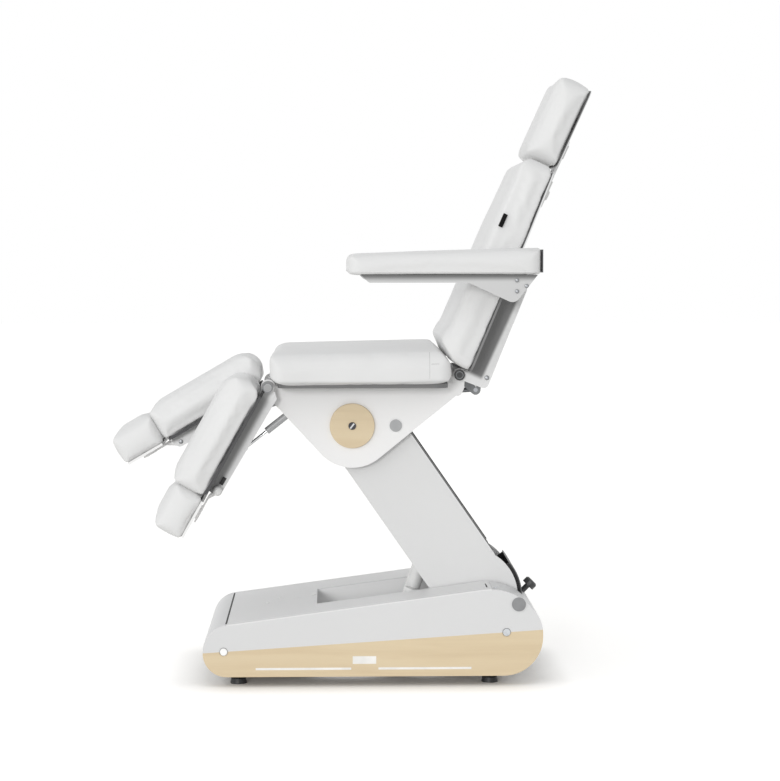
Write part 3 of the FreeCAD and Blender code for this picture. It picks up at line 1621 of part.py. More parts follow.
def make_leg_cushion():
    top = leg_cushion_top
    corners = [
        (-leg_cushion_start - leg_root_step, leg_cushion_bottom + leg_root_step, leg_cushion_draw / 2),
        (-leg_cushion_start, leg_cushion_bottom + leg_cushion_root_lift * 2, leg_cushion_root_lift / 2),
        (-leg_cushion_start, top, leg_cushion_root_radius),
        (-leg_cushion_end, top, leg_cushion_end_radius),
        (-leg_cushion_end, leg_cushion_bottom, leg_cushion_draw),
        (-leg_board_start, leg_cushion_bottom, 0),
    ]
    return cushion(rounded_wire(corners), -leg_outer_y, -leg_inner_y, leg_cushion_bottom,
                   top - leg_cushion_crown, leg_cushion_crown, leg_cushion_edge, leg_cushion_draw,
                   leg_cushion_plan_radius)


def make_leg_board():
    return box(-leg_cushion_end + leg_board_margin, -leg_board_start, -leg_outer_y + leg_board_margin,
               -leg_inner_y - leg_board_margin, leg_cushion_bottom - leg_board_wall, leg_cushion_bottom)


# Square bar along the leg, at side y, between two distances from the hinge
def square_bar(start, end, y, half):
    return box(-end, -start, -y - half, -y + half, foot_rod_q - half, foot_rod_q + half)


def leg_plate(y):
    top = leg_cushion_bottom - leg_board_wall
    corners = [
        (-leg_eye_radius, top, 0),
        (0, -leg_plate_root_depth + leg_plate_corner_radius, 0),
        (-leg_plate_corner_radius, -leg_plate_root_depth, leg_plate_corner_radius / 2),
        (-leg_plate_end, -leg_plate_end_depth, leg_plate_corner_radius),
        (-leg_plate_end, top, leg_plate_corner_radius / 2),
    ]
    plate = slab(rounded_wire(corners), -y - leg_plate_wall, -y)
    middle = y + leg_plate_wall / 2
    sleeve = cross_bar((0, 0), -middle - leg_sleeve_half_length, -middle + leg_sleeve_half_length,
                       leg_eye_radius)
    return joined(plate, sleeve)


def make_leg_frame():
    pieces = [leg_plate(leg_plate_inner_y), leg_plate(leg_plate_outer_y)]
    top = leg_cushion_bottom - leg_board_wall
    inner = -leg_plate_inner_y - leg_plate_wall
    cross_p = leg_plate_end * leg_cross_share
    cross_q = -leg_plate_end_depth + trim_lip
    pieces.append(box(-cross_p - leg_cross_half, -cross_p + leg_cross_half, -leg_plate_outer_y, inner,
                      cross_q, cross_q + 2 * leg_cross_half))
    holes = [cross_bar((0, 0), -leg_outer_y, 0, leg_tube_radius + hinge_fit)]
    for y in (foot_rod_inner_y, foot_rod_outer_y):
        pieces.append(square_bar(foot_sleeve_start, foot_sleeve_end, y,
                                 foot_rod_half_width + foot_sleeve_wall))
        for p in (foot_sleeve_start, foot_sleeve_end - foot_saddle_length):
            pieces.append(box(-p - foot_saddle_length, -p, -y - foot_saddle_width / 2,
                              -y + foot_saddle_width / 2, foot_rod_q, top))
        holes.append(square_bar(0, foot_sleeve_end + overrun, y, foot_rod_half_width + 2 * hinge_fit))
    pieces.append(cross_bar((-strut_leg_p, strut_leg_q), -leg_plate_outer_y, inner, strut_pin_radius))
    frame = joined(*pieces)
    knob_bore = cross_bar((-leg_knob_p, leg_knob_q), -leg_plate_outer_y - leg_plate_wall - overrun,
                          -leg_plate_outer_y, leg_knob_stem_radius + running_gap)
    return cut(frame, *(holes + [knob_bore]))


def make_leg_fittings():
    face = leg_plate_outer_y + leg_plate_wall
    bush = cut(cross_bar((-leg_knob_p, leg_knob_q), -face - leg_knob_bush_length, -face,
                         leg_knob_bush_radius),
               cross_bar((-leg_knob_p, leg_knob_q), -face - overrun, -face + overrun,
                         leg_knob_stem_radius + running_gap))
    half = leg_stop_length / 2
    stop = box(-leg_stop_p - half, -leg_stop_p + half, -face - leg_stop_wall, -face,
               leg_knob_q - leg_stop_height / 2, leg_knob_q + leg_stop_height / 2)
    screw = cross_bar((-leg_screw_p, leg_knob_q), -leg_plate_inner_y, -leg_plate_inner_y + leg_screw_height,
                      leg_screw_radius)
    return [bush, stop, screw]


def make_leg_knob():
    start = leg_plate_outer_y + leg_plate_wall + leg_knob_bush_length + running_gap
    middle = start + leg_knob_radius
    rows = []
    for angle in leg_knob_ring_angles:
        turn = math.radians(angle)
        rows.append((leg_knob_radius * math.cos(turn), middle + leg_knob_radius * math.sin(turn)))
    knob = faceted(rows)
    knob.translate(Vec(-leg_knob_p, 0, leg_knob_q))
    stem_end = middle + leg_knob_radius * math.sin(math.radians(leg_knob_ring_angles[0]))
    stem = cross_bar((-leg_knob_p, leg_knob_q), leg_plate_outer_y - running_gap, stem_end,
                     leg_knob_stem_radius)
    return mirrored(joined(stem, knob))


def make_foot_frame():
    start = leg_cushion_end + foot_cushion_gap
    end = start + foot_cushion_length
    bottom = foot_cushion_bottom
    board = box(-end + foot_board_margin, -start - foot_board_margin, -leg_outer_y + leg_board_margin,
                -leg_inner_y - leg_board_margin, bottom - foot_board_wall, bottom)
    pieces = [board]
    for y in (foot_rod_inner_y, foot_rod_outer_y):
        pieces.append(square_bar(foot_rod_start, foot_rod_end, y, foot_rod_half_width))
        pieces.append(box(-foot_clamp_start - foot_clamp_length, -foot_clamp_start, -y - foot_clamp_depth,
                          -y + foot_clamp_depth, foot_rod_q - foot_clamp_depth, bottom - foot_board_wall))
    return joined(*pieces)


def make_foot_cushion():
    start = leg_cushion_end + foot_cushion_gap
    end = start + foot_cushion_length
    corners = [
        (-start, foot_cushion_bottom, leg_cushion_draw),
        (-start, foot_cushion_top, leg_cushion_end_radius),
        (-end, foot_cushion_top, leg_cushion_edge),
        (-end, foot_cushion_bottom, leg_cushion_draw),
    ]
    return cushion(rounded_wire(corners), -leg_outer_y, -leg_inner_y, foot_cushion_bottom,
                   foot_cushion_top - foot_cushion_crown, foot_cushion_crown, leg_cushion_edge,
                   leg_cushion_draw, leg_cushion_plan_radius)


# Gas springs

def strut_points(angle):
    turn = math.radians(angle)
    leg_x = leg_hinge_x - strut_leg_p * math.cos(turn) - strut_leg_q * math.sin(turn)
    leg_z = leg_hinge_z - strut_leg_p * math.sin(turn) + strut_leg_q * math.cos(turn)
    root = (strut_seat_x, strut_seat_z)
    heading = math.degrees(math.atan2(leg_z - strut_seat_z, leg_x - strut_seat_x))
    return root, (leg_x, leg_z), heading


def make_strut_cylinder(angle):
    root, tip, heading = strut_points(angle)
    body = long_bar(root, heading, -strut_y, strut_cylinder_start, strut_cylinder_end,
                    strut_cylinder_radius)
    eye = cross_bar(root, -strut_y - strut_eye_half_width, -strut_y + strut_eye_half_width,
                    strut_eye_radius)
    bore = long_bar(root, heading, -strut_y, strut_bore_start, strut_cylinder_end + overrun,
                    strut_bore_radius)
    hole = cross_bar(root, -strut_y - overrun, -strut_y + overrun, strut_pin_radius + hinge_fit)
    return cut(joined(body, eye), bore, hole)


def make_strut_rod(angle):
    root, tip, heading = strut_points(angle)
    full = math.hypot(tip[0] - root[0], tip[1] - root[1])
    rod = long_bar(root, heading, -strut_y, full - strut_rod_length, full, strut_rod_radius)
    eye = cross_bar(tip, -strut_y - strut_eye_half_width, -strut_y + strut_eye_half_width, strut_eye_radius)
    hole = cross_bar(tip, -strut_y - overrun, -strut_y + overrun, strut_pin_radius + hinge_fit)
    return cut(joined(rod, eye), hole)


def make_strut_pins():
    return pair(cross_bar((strut_seat_x, strut_seat_z), strut_y - strut_eye_half_width - trim_lip,
                          seat_plate_inner_y, strut_pin_radius))


# Writes every piece

def build_base():
    save("base_chassis", make_base_chassis())
    save("base_cover", cut(make_base_cover(), knob_hole()))
    save("top_panel", make_top_panel())
    save("well_liner", make_well_liner())
    save("rear_hood", make_rear_hood())
    save("base_skirts", make_base_skirts())
    save("wood_panels", pair(make_wood_panel()))
    save("panel_strips", make_panel_strips())
    save("base_screws", make_panel_screws() + make_top_screws())
    save("base_caps", make_base_caps())
    save("levelling_feet", make_levelling_feet())
    save("control_box", make_control_box())
    save("mains_inlet", make_mains_inlet())
    save("base_pivot_pins", make_base_axles() + make_link_axles_base() + [make_actuator_pins_base()])
    save("rear_clamp_knob", make_rear_knob())


def build_lift():
    save("lift_arm", make_lift_arm())
    save("arm_edge_trim", make_arm_edge_trim())
    save("arm_pivot_fittings", make_arm_bushes() + [make_actuator_pins_arm()])
    save("rear_link", make_rear_link())
    save("lift_actuator_tube", make_lift_actuator_tube())
    save("lift_actuator_rod", make_lift_actuator_rod())


def build_seat():
    save_on_seat("seat_plates", pair(make_seat_plate()))
    save_on_seat("seat_crossframe", make_seat_crossframe())
    save_on_seat("seat_hinge_tubes", [make_leg_hinge_tube(), make_back_hinge_tube()])
    save_on_seat("seat_board", make_seat_board())
    save_on_seat("seat_cushion", make_seat_cushion())
    save_on_seat("wood_discs", pair(make_wood_disc()))
    save_on_seat("seat_caps", pair(make_seat_cap()))
    steel = make_seat_axles() + make_link_axles_seat() + make_strut_pins() + pair(make_disc_screw())
    save_on_seat("seat_pivot_pins", steel + [make_back_drive_pin()])


def build_back():
    save_on_seat("back_frame", make_back_frame())
    save_on_seat("back_screws", make_back_screws() + [make_lever_pin()])
    save_on_seat("back_board", make_back_board())
    save_on_seat("back_cushion", make_back_cushion())
    save_on_seat("back_tag", make_back_tag())
    save_on_seat("back_actuator_tube", make_back_actuator_tube())
    save_on_seat("back_actuator_rod", make_back_actuator_rod())
    save_on_seat("headrest_guide", make_headrest_guide())
    save_on_seat("head_lock_knob", make_head_lock_knob())
    save_on_seat("headrest_frame", make_headrest_frame())
    save_on_seat("headrest_cushion", make_head_cushion())


def build_armrests():
    pieces = (
        ("armrest_bracket", [make_armrest_bracket()] + make_bracket_screws()),
        ("armrest_tray", [make_armrest_tray(), make_pad_end_plate()]),
        ("armrest_pad", [make_armrest_pad()]),
    )
    for name, shapes in pieces:
        save_on_seat(name + "_left", shapes)
        save_on_seat(name + "_right", [mirrored(shape) for shape in shapes])


def build_leg(side, angle, flip):
    def seated(shape):
        turned = placed(shape, leg_hinge, angle)
        return mirrored(turned) if flip else turned

    metal = [make_leg_frame(), make_leg_board()] + make_leg_fittings()
    save_on_seat("leg_frame_" + side, [seated(shape) for shape in metal])
    save_on_seat("leg_cushion_" + side, seated(make_leg_cushion()))
    save_on_seat("leg_knob_" + side, seated(make_leg_knob()))
    save_on_seat("foot_frame_" + side, seated(make_foot_frame()))
    save_on_seat("foot_cushion_" + side, seated(make_foot_cushion()))
    strut = [make_strut_cylinder(angle), make_strut_rod(angle)]
    if flip:
        strut = [mirrored(shape) for shape in strut]
    save_on_seat("gas_spring_cylinder_" + side, strut[0])
    save_on_seat("gas_spring_rod_" + side, strut[1])


os.makedirs("parts", exist_ok=True)
build_base()
build_lift()
build_seat()
build_back()
build_armrests()
build_leg("left", left_leg_angle, False)
build_leg("right", right_leg_angle, True)
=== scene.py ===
"""Podiatry chair: finishes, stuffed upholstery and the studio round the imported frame."""
import logging
import math
from dataclasses import dataclass
from enum import Enum
from typing import Iterable

import bmesh
import bpy
from mathutils import Euler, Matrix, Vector
from mathutils.bvhtree import BVHTree


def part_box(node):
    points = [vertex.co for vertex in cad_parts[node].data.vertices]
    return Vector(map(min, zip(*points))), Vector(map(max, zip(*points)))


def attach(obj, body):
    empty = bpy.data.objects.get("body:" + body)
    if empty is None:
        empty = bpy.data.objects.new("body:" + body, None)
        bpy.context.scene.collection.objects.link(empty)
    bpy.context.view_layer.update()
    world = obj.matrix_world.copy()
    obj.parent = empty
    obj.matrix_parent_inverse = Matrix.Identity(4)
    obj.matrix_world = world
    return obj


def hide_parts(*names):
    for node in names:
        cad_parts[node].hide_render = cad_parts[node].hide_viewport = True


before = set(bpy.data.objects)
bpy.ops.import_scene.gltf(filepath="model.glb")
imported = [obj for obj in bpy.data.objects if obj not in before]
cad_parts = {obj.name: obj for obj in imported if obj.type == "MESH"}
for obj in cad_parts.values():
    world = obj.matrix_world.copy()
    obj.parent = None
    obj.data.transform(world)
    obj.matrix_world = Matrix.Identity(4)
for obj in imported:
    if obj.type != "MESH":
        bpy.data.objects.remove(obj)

log = logging.getLogger("chair")
Triple = tuple[float, float, float]
Colour = Triple
Pair = tuple[float, float]
Profile = tuple[Pair, ...]
Socket = bpy.types.NodeSocket
Ring = list[bmesh.types.BMVert]
MILLIMETRE = 0.001
# The drawing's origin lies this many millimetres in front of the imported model's.
DRAWING_SHIFT = 8.0


@dataclass(frozen=True)
class LocalFrame:
    """A hinge point of the drawing and the angle of what hangs on it."""

    x: float
    z: float
    angle: float
    flip: bool = False

    def out(self, along: float, y: float, across: float) -> Vector:
        """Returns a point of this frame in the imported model, in metres.

        Args:
            along: millimetres along the piece.
            y: millimetres across the chair.
            across: millimetres square to the piece.

        Returns:
            The point.
        """
        turn = math.radians(self.angle)
        if self.flip:
            along = -along
        x = self.x + along * math.cos(turn) - across * math.sin(turn) - DRAWING_SHIFT
        z = self.z + along * math.sin(turn) + across * math.cos(turn)
        return Vector((x, y, z)) * MILLIMETRE

    def into(self, point: Vector) -> Vector:
        """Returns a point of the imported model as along, y and across in millimetres.

        Args:
            point: the point in metres.

        Returns:
            Its place in this frame.
        """
        turn = math.radians(self.angle)
        x = point.x / MILLIMETRE + DRAWING_SHIFT - self.x
        z = point.z / MILLIMETRE - self.z
        along = x * math.cos(turn) + z * math.sin(turn)
        across = -x * math.sin(turn) + z * math.cos(turn)
        return Vector((-along if self.flip else along, point.y / MILLIMETRE, across))


class Side(Enum):
    """Which half of the chair a paired piece belongs to."""

    LEFT = "left"
    RIGHT = "right"

    @property
    def sign(self) -> float:
        """The sign of y on this side."""
        return -1.0 if self is Side.LEFT else 1.0

    @property
    def outward(self) -> Vector:
        """The direction that looks away from the chair on this side."""
        return Vector((0.0, self.sign, 0.0))

    @property
    def leg(self) -> LocalFrame:
        """The leg rest's own frame on this side."""
        return LocalFrame(-213.0, 811.0, 60.6 if self is Side.LEFT else 30.2, True)


# The drawing itself, then the back at its hinge, the board behind its cushion and the lift arm.
DRAWING = LocalFrame(0.0, 0.0, 0.0)
BACK = LocalFrame(314.0, 844.0, 65.5)
BACK_BOARD = LocalFrame(334.1, 856.8, 66.97)
LIFT_ARM = LocalFrame(350.5, 223.5, 124.7)


def clamped(value: float) -> float:
    """Returns the value held between 0 and 1."""
    return max(0.0, min(1.0, value))


def tinted(colour: Colour, factor: float) -> Colour:
    """Returns the colour made lighter or darker by a factor."""
    return tuple(min(1.0, channel * factor) for channel in colour)


def smoothed(mesh: bpy.types.Mesh) -> None:
    """Shades all faces of a mesh smooth."""
    mesh.polygons.foreach_set("use_smooth", [True] * len(mesh.polygons))


def set_down(name: str, mesh: bpy.types.Mesh, body: str, stands_for: str = "") -> bpy.types.Object:
    """Puts a finished mesh on its body.

    Args:
        name: the piece's name.
        mesh: its mesh.
        body: the body that it rides on.
        stands_for: the node that it replaces, if any.

    Returns:
        The piece.
    """
    piece = bpy.data.objects.new(name, mesh)
    bpy.context.scene.collection.objects.link(piece)
    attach(piece, body)
    if stands_for:
        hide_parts(stands_for)
    log.info("piece %s on %s", name, body)
    return piece


def meshed(sheet: bmesh.types.BMesh, name: str, finishes: Iterable[bpy.types.Material]) -> bpy.types.Mesh:
    """Turns a sheet into a mesh and frees it.

    Args:
        sheet: the sheet.
        name: the mesh's name.
        finishes: the materials of its slots.

    Returns:
        The mesh.
    """
    mesh = bpy.data.meshes.new(name)
    sheet.to_mesh(mesh)
    sheet.free()
    for finish in finishes:
        mesh.materials.append(finish)
    return mesh


def round_ring(sheet: bmesh.types.BMesh, centre: Vector, axes: tuple[Vector, Vector], radius: float,
               count: int) -> Ring:
    """Adds the corners of one round ring.

    Args:
        sheet: the sheet that takes them.
        centre: the ring's centre.
        axes: two unit directions in its plane.
        radius: its radius in metres.
        count: how many corners it has.

    Returns:
        The corners in order.
    """
    side, other = axes
    ring = []
    for turn in range(count):
        angle = 2.0 * math.pi * turn / count
        spoke = side * math.cos(angle) + other * math.sin(angle)
        ring.append(sheet.verts.new(centre + spoke * radius))
    return ring


def bridge(sheet: bmesh.types.BMesh, rings: list[Ring]) -> list[bmesh.types.BMFace]:
    """Skins a row of rings and closes both ends.

    Args:
        sheet: the sheet that holds the rings.
        rings: the rings, each with as many corners.

    Returns:
        The new faces.
    """
    faces = []
    for first, second in zip(rings, rings[1:]):
        for corner in range(len(first)):
            after = (corner + 1) % len(first)
            faces.append(sheet.faces.new((first[corner], first[after], second[after], second[corner])))
    faces.append(sheet.faces.new(list(reversed(rings[0]))))
    faces.append(sheet.faces.new(rings[-1]))
    return faces


def add_box(sheet: bmesh.types.BMesh, place: LocalFrame, low: Triple,
            high: Triple) -> list[bmesh.types.BMFace]:
    """Adds a box to a sheet.

    Args:
        sheet: the sheet.
        place: the frame of its corners.
        low: one corner in millimetres.
        high: the opposite corner.

    Returns:
        The new faces.
    """
    section = ((low[0], low[2]), (high[0], low[2]), (high[0], high[2]), (low[0], high[2]))
    rings = []
    for y in (low[1], high[1]):
        rings.append([sheet.verts.new(place.out(along, y, across)) for along, across in section])
    faces = bridge(sheet, rings)
    bmesh.ops.recalc_face_normals(sheet, faces=faces)
    return faces


def split_at(sheet: bmesh.types.BMesh, point: Vector, normal: Vector) -> list:
    """Cuts a sheet's faces along a plane.

    Args:
        sheet: the sheet.
        point: a point of the plane.
        normal: the plane's direction.

    Returns:
        The corners and edges on the plane.
    """
    geometry = list(sheet.verts) + list(sheet.edges) + list(sheet.faces)
    return bmesh.ops.bisect_plane(sheet, geom=geometry, plane_co=point, plane_no=normal)["geom_cut"]


@dataclass(frozen=True)
class Shade:
    """Painted shade that darkens a plate or board where it tucks in under something. The arm trim's dark
    rear edge is laid the same way.
    """

    place: LocalFrame
    near: float
    far: float
    depth: float
    tail: float | None = None
    fade: float = 16.0


class NodeDeck:
    """A small helper that lays out one material's shader nodes."""

    def __init__(self, name: str) -> None:
        """Starts an empty material.

        Args:
            name: the material's name.
        """
        self.material = bpy.data.materials.new(name)
        self.material.use_nodes = True
        self.tree = self.material.node_tree
        self.shader = self.tree.nodes["Principled BSDF"]
        self.place = self.tree.nodes.new("ShaderNodeTexCoord").outputs["Object"]

    def node(self, kind: str, links: dict[str | int, Socket],
             **values: float | Triple) -> bpy.types.Node:
        """Adds a node with its links and constants.

        Args:
            kind: the node's type, without the common first word.
            links: the sources of its inputs, by name or index.
            **values: constants of its inputs, with spaces written as underscores.

        Returns:
            The node.
        """
        node = self.tree.nodes.new("ShaderNode" + kind)
        for name, value in values.items():
            node.inputs[name.replace("_", " ")].default_value = value
        for key, source in links.items():
            self.tree.links.new(source, node.inputs[key])
        return node

    def mapped(self, scale: Triple) -> Socket:
        """Returns object coordinates stretched by repeats per metre along each axis."""
        return self.node("Mapping", {"Vector": self.place}, Scale=scale).outputs["Vector"]

    def warped(self, scale: Triple, push: Socket, amount: float) -> Socket:
        """Returns stretched coordinates that a value pushes aside.

        Args:
            scale: repeats per metre along each axis.
            push: the value that bends the pattern.
            amount: how far it is pushed.

        Returns:
            The vector output.
        """
        grown = self.node("Math", {0: push})
        grown.operation = "MULTIPLY"
        grown.inputs[1].default_value = amount
        node = self.node("VectorMath", {0: self.mapped(scale), 1: grown.outputs["Value"]})
        node.operation = "ADD"
        return node.outputs["Vector"]

    def step_along(self, direction: Vector, start: float, end: float) -> Socket:
        """Returns a smooth step between two levels along a direction.

        Args:
            direction: the unit direction.
            start: the level where the step is 0, in metres.
            end: the level where it is 1.

        Returns:
            The value output.
        """
        level = self.node("VectorMath", {0: self.place})
        level.operation = "DOT_PRODUCT"
        level.inputs[1].default_value = direction
        step = self.node("MapRange", {"Value": level.outputs["Value"]}, From_Min=start, From_Max=end)
        step.interpolation_type = "SMOOTHSTEP"
        return step.outputs["Result"]

    def shaded(self, shade: Shade) -> Socket:
        """Returns 1 where a shade is full and 0 where it has faded out.

        Args:
            shade: the shade's frame and stretch.

        Returns:
            The value output.
        """
        turn = math.radians(shade.place.angle)
        root = shade.place.out(0.0, 0.0, 0.0)
        normal = Vector((-math.sin(turn), 0.0, math.cos(turn)))
        base = root.dot(normal)
        full = self.step_along(normal, base + shade.far * MILLIMETRE, base + shade.near * MILLIMETRE)
        if shade.tail is None:
            return full
        run = Vector((math.cos(turn), 0.0, math.sin(turn)))
        end = root.dot(run) + shade.tail * MILLIMETRE
        fading = self.step_along(run, end, end + shade.fade * MILLIMETRE)
        both = self.node("Math", {0: full, 1: fading})
        both.operation = "MULTIPLY"
        return both.outputs["Value"]

    def level(self, value: float) -> Socket:
        """Returns a constant as an output.

        Args:
            value: the constant.

        Returns:
            The value output.
        """
        node = self.node("Value", {})
        node.outputs[0].default_value = value
        return node.outputs[0]

    def noise(self, vector: Socket, scale: float, detail: float = 2.0, rough: float = 0.5) -> Socket:
        """Returns a fractal noise value.

        Args:
            vector: where it is read.
            scale: size of the pattern.
            detail: octaves.
            rough: weight of the fine octaves.

        Returns:
            The value output, about 0 to 1.
        """
        return self.node("TexNoise", {"Vector": vector}, Scale=scale, Detail=detail,
                         Roughness=rough).outputs["Fac"]

    def cells(self, vector: Socket, scale: float) -> Socket:
        """Returns the distance to the nearest of a number of cell centres per metre."""
        return self.node("TexVoronoi", {"Vector": vector}, Scale=scale).outputs["Distance"]

    def ramp(self, value: Socket, stops: Iterable[tuple[float, Colour]]) -> Socket:
        """Returns a colour read off a ramp.

        Args:
            value: what drives the ramp.
            stops: position and colour of each stop.

        Returns:
            The colour output.
        """
        node = self.node("ValToRGB", {"Fac": value})
        elements = node.color_ramp.elements
        for index, (position, colour) in enumerate(stops):
            stop = elements[index] if index < len(elements) else elements.new(position)
            stop.position = position
            stop.color = (*colour, 1.0)
        return node.outputs["Color"]

    def mottled(self, value: Socket, colour: Colour, tints: Pair, stops: Pair = (0.3, 0.7)) -> Socket:
        """Returns a colour that wanders between a darker and a lighter tint.

        Args:
            value: the pattern.
            colour: the colour.
            tints: the factors of the two tints.
            stops: the pattern's levels at which they are reached.

        Returns:
            The colour output.
        """
        return self.ramp(value, [(stop, tinted(colour, tint)) for stop, tint in zip(stops, tints)])

    def ranged(self, value: Socket, span: Pair) -> Socket:
        """Returns the value moved to the span."""
        return self.node("MapRange", {"Value": value}, To_Min=span[0], To_Max=span[1]).outputs["Result"]

    def wear(self, value: Socket, roughness: float, spread: Pair) -> Socket:
        """Returns a roughness that varies with a pattern.

        Args:
            value: the pattern.
            roughness: the middle roughness.
            spread: how far the pattern takes it down and up.

        Returns:
            The value output.
        """
        return self.ranged(value, (roughness + spread[0], roughness + spread[1]))

    def blend(self, share: Socket, first: Socket, second: Socket) -> Socket:
        """Mixes two colours by a share.

        Args:
            share: 0 for the first colour, 1 for the second.
            first: the first colour.
            second: the second colour.

        Returns:
            The mixed colour.
        """
        node = self.tree.nodes.new("ShaderNodeMix")
        node.data_type = "RGBA"
        for name, source in (("Factor_Float", share), ("A_Color", first), ("B_Color", second)):
            inlet = next(item for item in node.inputs if item.identifier == name)
            self.tree.links.new(source, inlet)
        return next(item for item in node.outputs if item.identifier == "Result_Color")

    def bump(self, height: Socket, depth: float, strength: float, under: Socket | None = None) -> Socket:
        """Returns a bumped normal.

        Args:
            height: the height value.
            depth: its depth in metres.
            strength: how much of it shows.
            under: a normal that lies beneath this one.

        Returns:
            The normal output.
        """
        links = {"Height": height}
        if under is not None:
            links["Normal"] = under
        return self.node("Bump", links, Distance=depth, Strength=strength).outputs["Normal"]

    def feed(self, socket: str, value: Socket) -> None:
        """Links a value to a socket of the shader."""
        self.tree.links.new(value, self.shader.inputs[socket])

    def fix(self, **values: float) -> None:
        """Sets constants on the shader's own sockets.

        Args:
            **values: the constants by socket, with spaces written as underscores.
        """
        for name, value in values.items():
            self.shader.inputs[name.replace("_", " ")].default_value = value


class Leather(Enum):
    """The artificial leather and a darker copy of it, whose darkness is painted shade in the seams."""

    PANEL = "panel"
    SEAM = "seam"


@dataclass(frozen=True)
class LeatherFinish:
    """Fine-grained artificial leather with soft waves over the foam."""

    lot: Leather
    colour: Colour
    cloud: float = 5.0
    tints: Pair = (0.972, 1.012)
    grain: float = 1300.0
    grain_depth: float = 0.00010
    grain_strength: float = 0.3
    ripple: float = 11.0
    ripple_rough: float = 0.4
    ripple_depth: float = 0.0010
    ripple_strength: float = 0.35
    pore: float = 240.0
    roughness: Pair = (0.46, 0.58)

    @property
    def name(self) -> str:
        """The material's name."""
        return "leather_" + self.lot.value

    def build(self) -> bpy.types.Material:
        """Lays out the finish's nodes.

        Returns:
            The material.
        """
        deck = NodeDeck(self.name)
        broad = deck.noise(deck.place, self.cloud)
        deck.feed("Base Color", deck.mottled(broad, self.colour, self.tints))
        ripple = deck.noise(deck.place, self.ripple, rough=self.ripple_rough)
        soft = deck.bump(ripple, self.ripple_depth, self.ripple_strength)
        grain = deck.cells(deck.place, self.grain)
        deck.feed("Normal", deck.bump(grain, self.grain_depth, self.grain_strength, soft))
        deck.feed("Roughness", deck.ranged(deck.noise(deck.place, self.pore), self.roughness))
        deck.fix(Specular_IOR_Level=0.36, Sheen_Weight=0.05, Sheen_Roughness=0.4)
        return deck.material


@dataclass(frozen=True)
class PaintFinish:
    """Powder coat with a faint orange peel, darkened by painted shade where shades are given."""

    name: str
    colour: Colour
    roughness: float = 0.38
    shades: tuple[Shade, ...] = ()
    cloud: float = 2.2
    cloud_stops: Pair = (0.3, 0.75)
    tints: Pair = (0.982, 1.01)
    shade_tints: Pair = (0.98, 1.02)
    peel: float = 420.0
    peel_detail: float = 1.5
    peel_depth: float = 0.00006
    peel_strength: float = 0.35
    wipe: float = 9.0
    wipe_detail: float = 4.0
    wipe_rough: float = 0.6
    wear: Pair = (-0.05, 0.06)

    def build(self) -> bpy.types.Material:
        """Lays out the finish's nodes.

        Returns:
            The material.
        """
        deck = NodeDeck(self.name)
        broad = deck.noise(deck.place, self.cloud)
        coat = deck.mottled(broad, self.colour, self.tints, self.cloud_stops)
        # Painted shade: each shade blends the coat into a darker copy of itself.
        for shade in self.shades:
            dark = deck.mottled(broad, tinted(self.colour, shade.depth), self.shade_tints, self.cloud_stops)
            coat = deck.blend(deck.shaded(shade), coat, dark)
        deck.feed("Base Color", coat)
        peel = deck.noise(deck.place, self.peel, self.peel_detail)
        deck.feed("Normal", deck.bump(peel, self.peel_depth, self.peel_strength))
        wipe = deck.noise(deck.place, self.wipe, self.wipe_detail, self.wipe_rough)
        deck.feed("Roughness", deck.wear(wipe, self.roughness, self.wear))
        deck.fix(Specular_IOR_Level=0.45)
        return deck.material


@dataclass(frozen=True)
class MapleFinish:
    """Pale maple veneer, its grain along the chair, under satin lacquer."""

    name: str = "maple"
    light: Colour = (0.755, 0.628, 0.428)
    middle: Colour = (0.720, 0.585, 0.390)
    dark: Colour = (0.630, 0.492, 0.312)
    fleck: Colour = (0.640, 0.470, 0.290)
    drift_scale: Triple = (1.6, 5.0, 7.0)
    drift_stops: Pair = (0.3, 0.7)
    waviness: float = 1.6
    streak_scale: Triple = (1.5, 16.0, 34.0)
    streak_detail: float = 5.0
    streak_rough: float = 0.55
    figure_stops: Triple = (0.30, 0.52, 0.68)
    figure_share: float = 0.62
    fibre_scale: Triple = (7.0, 260.0, 300.0)
    fibre_size: float = 2.6
    fibre_detail: float = 4.0
    fibre_rough: float = 0.65
    fibre_depth: float = 0.00006
    fibre_strength: float = 0.3
    fleck_stops: Pair = (0.56, 0.84)
    fleck_share: float = 0.20
    roughness: Pair = (0.42, 0.52)

    def build(self) -> bpy.types.Material:
        """Lays out the finish's nodes.

        Returns:
            The material.
        """
        deck = NodeDeck(self.name)
        drift = deck.noise(deck.mapped(self.drift_scale), 1.0)
        wavy = deck.warped(self.streak_scale, drift, self.waviness)
        streak = deck.noise(wavy, 1.0, self.streak_detail, self.streak_rough)
        figure = deck.ramp(streak, zip(self.figure_stops, (self.dark, self.middle, self.light)))
        plain = deck.ramp(drift, zip(self.drift_stops, (self.middle, self.light)))
        base = deck.blend(deck.level(self.figure_share), plain, figure)
        grain = deck.mapped(self.fibre_scale)
        fibre = deck.noise(grain, self.fibre_size, self.fibre_detail, self.fibre_rough)
        pores = deck.ramp(fibre, zip(self.fleck_stops, (self.light, self.fleck)))
        deck.feed("Base Color", deck.blend(deck.level(self.fleck_share), base, pores))
        deck.feed("Normal", deck.bump(fibre, self.fibre_depth, self.fibre_strength))
        deck.feed("Roughness", deck.ranged(fibre, self.roughness))
        deck.fix(Specular_IOR_Level=0.35, Coat_Weight=0.08, Coat_Roughness=0.3)
        return deck.material


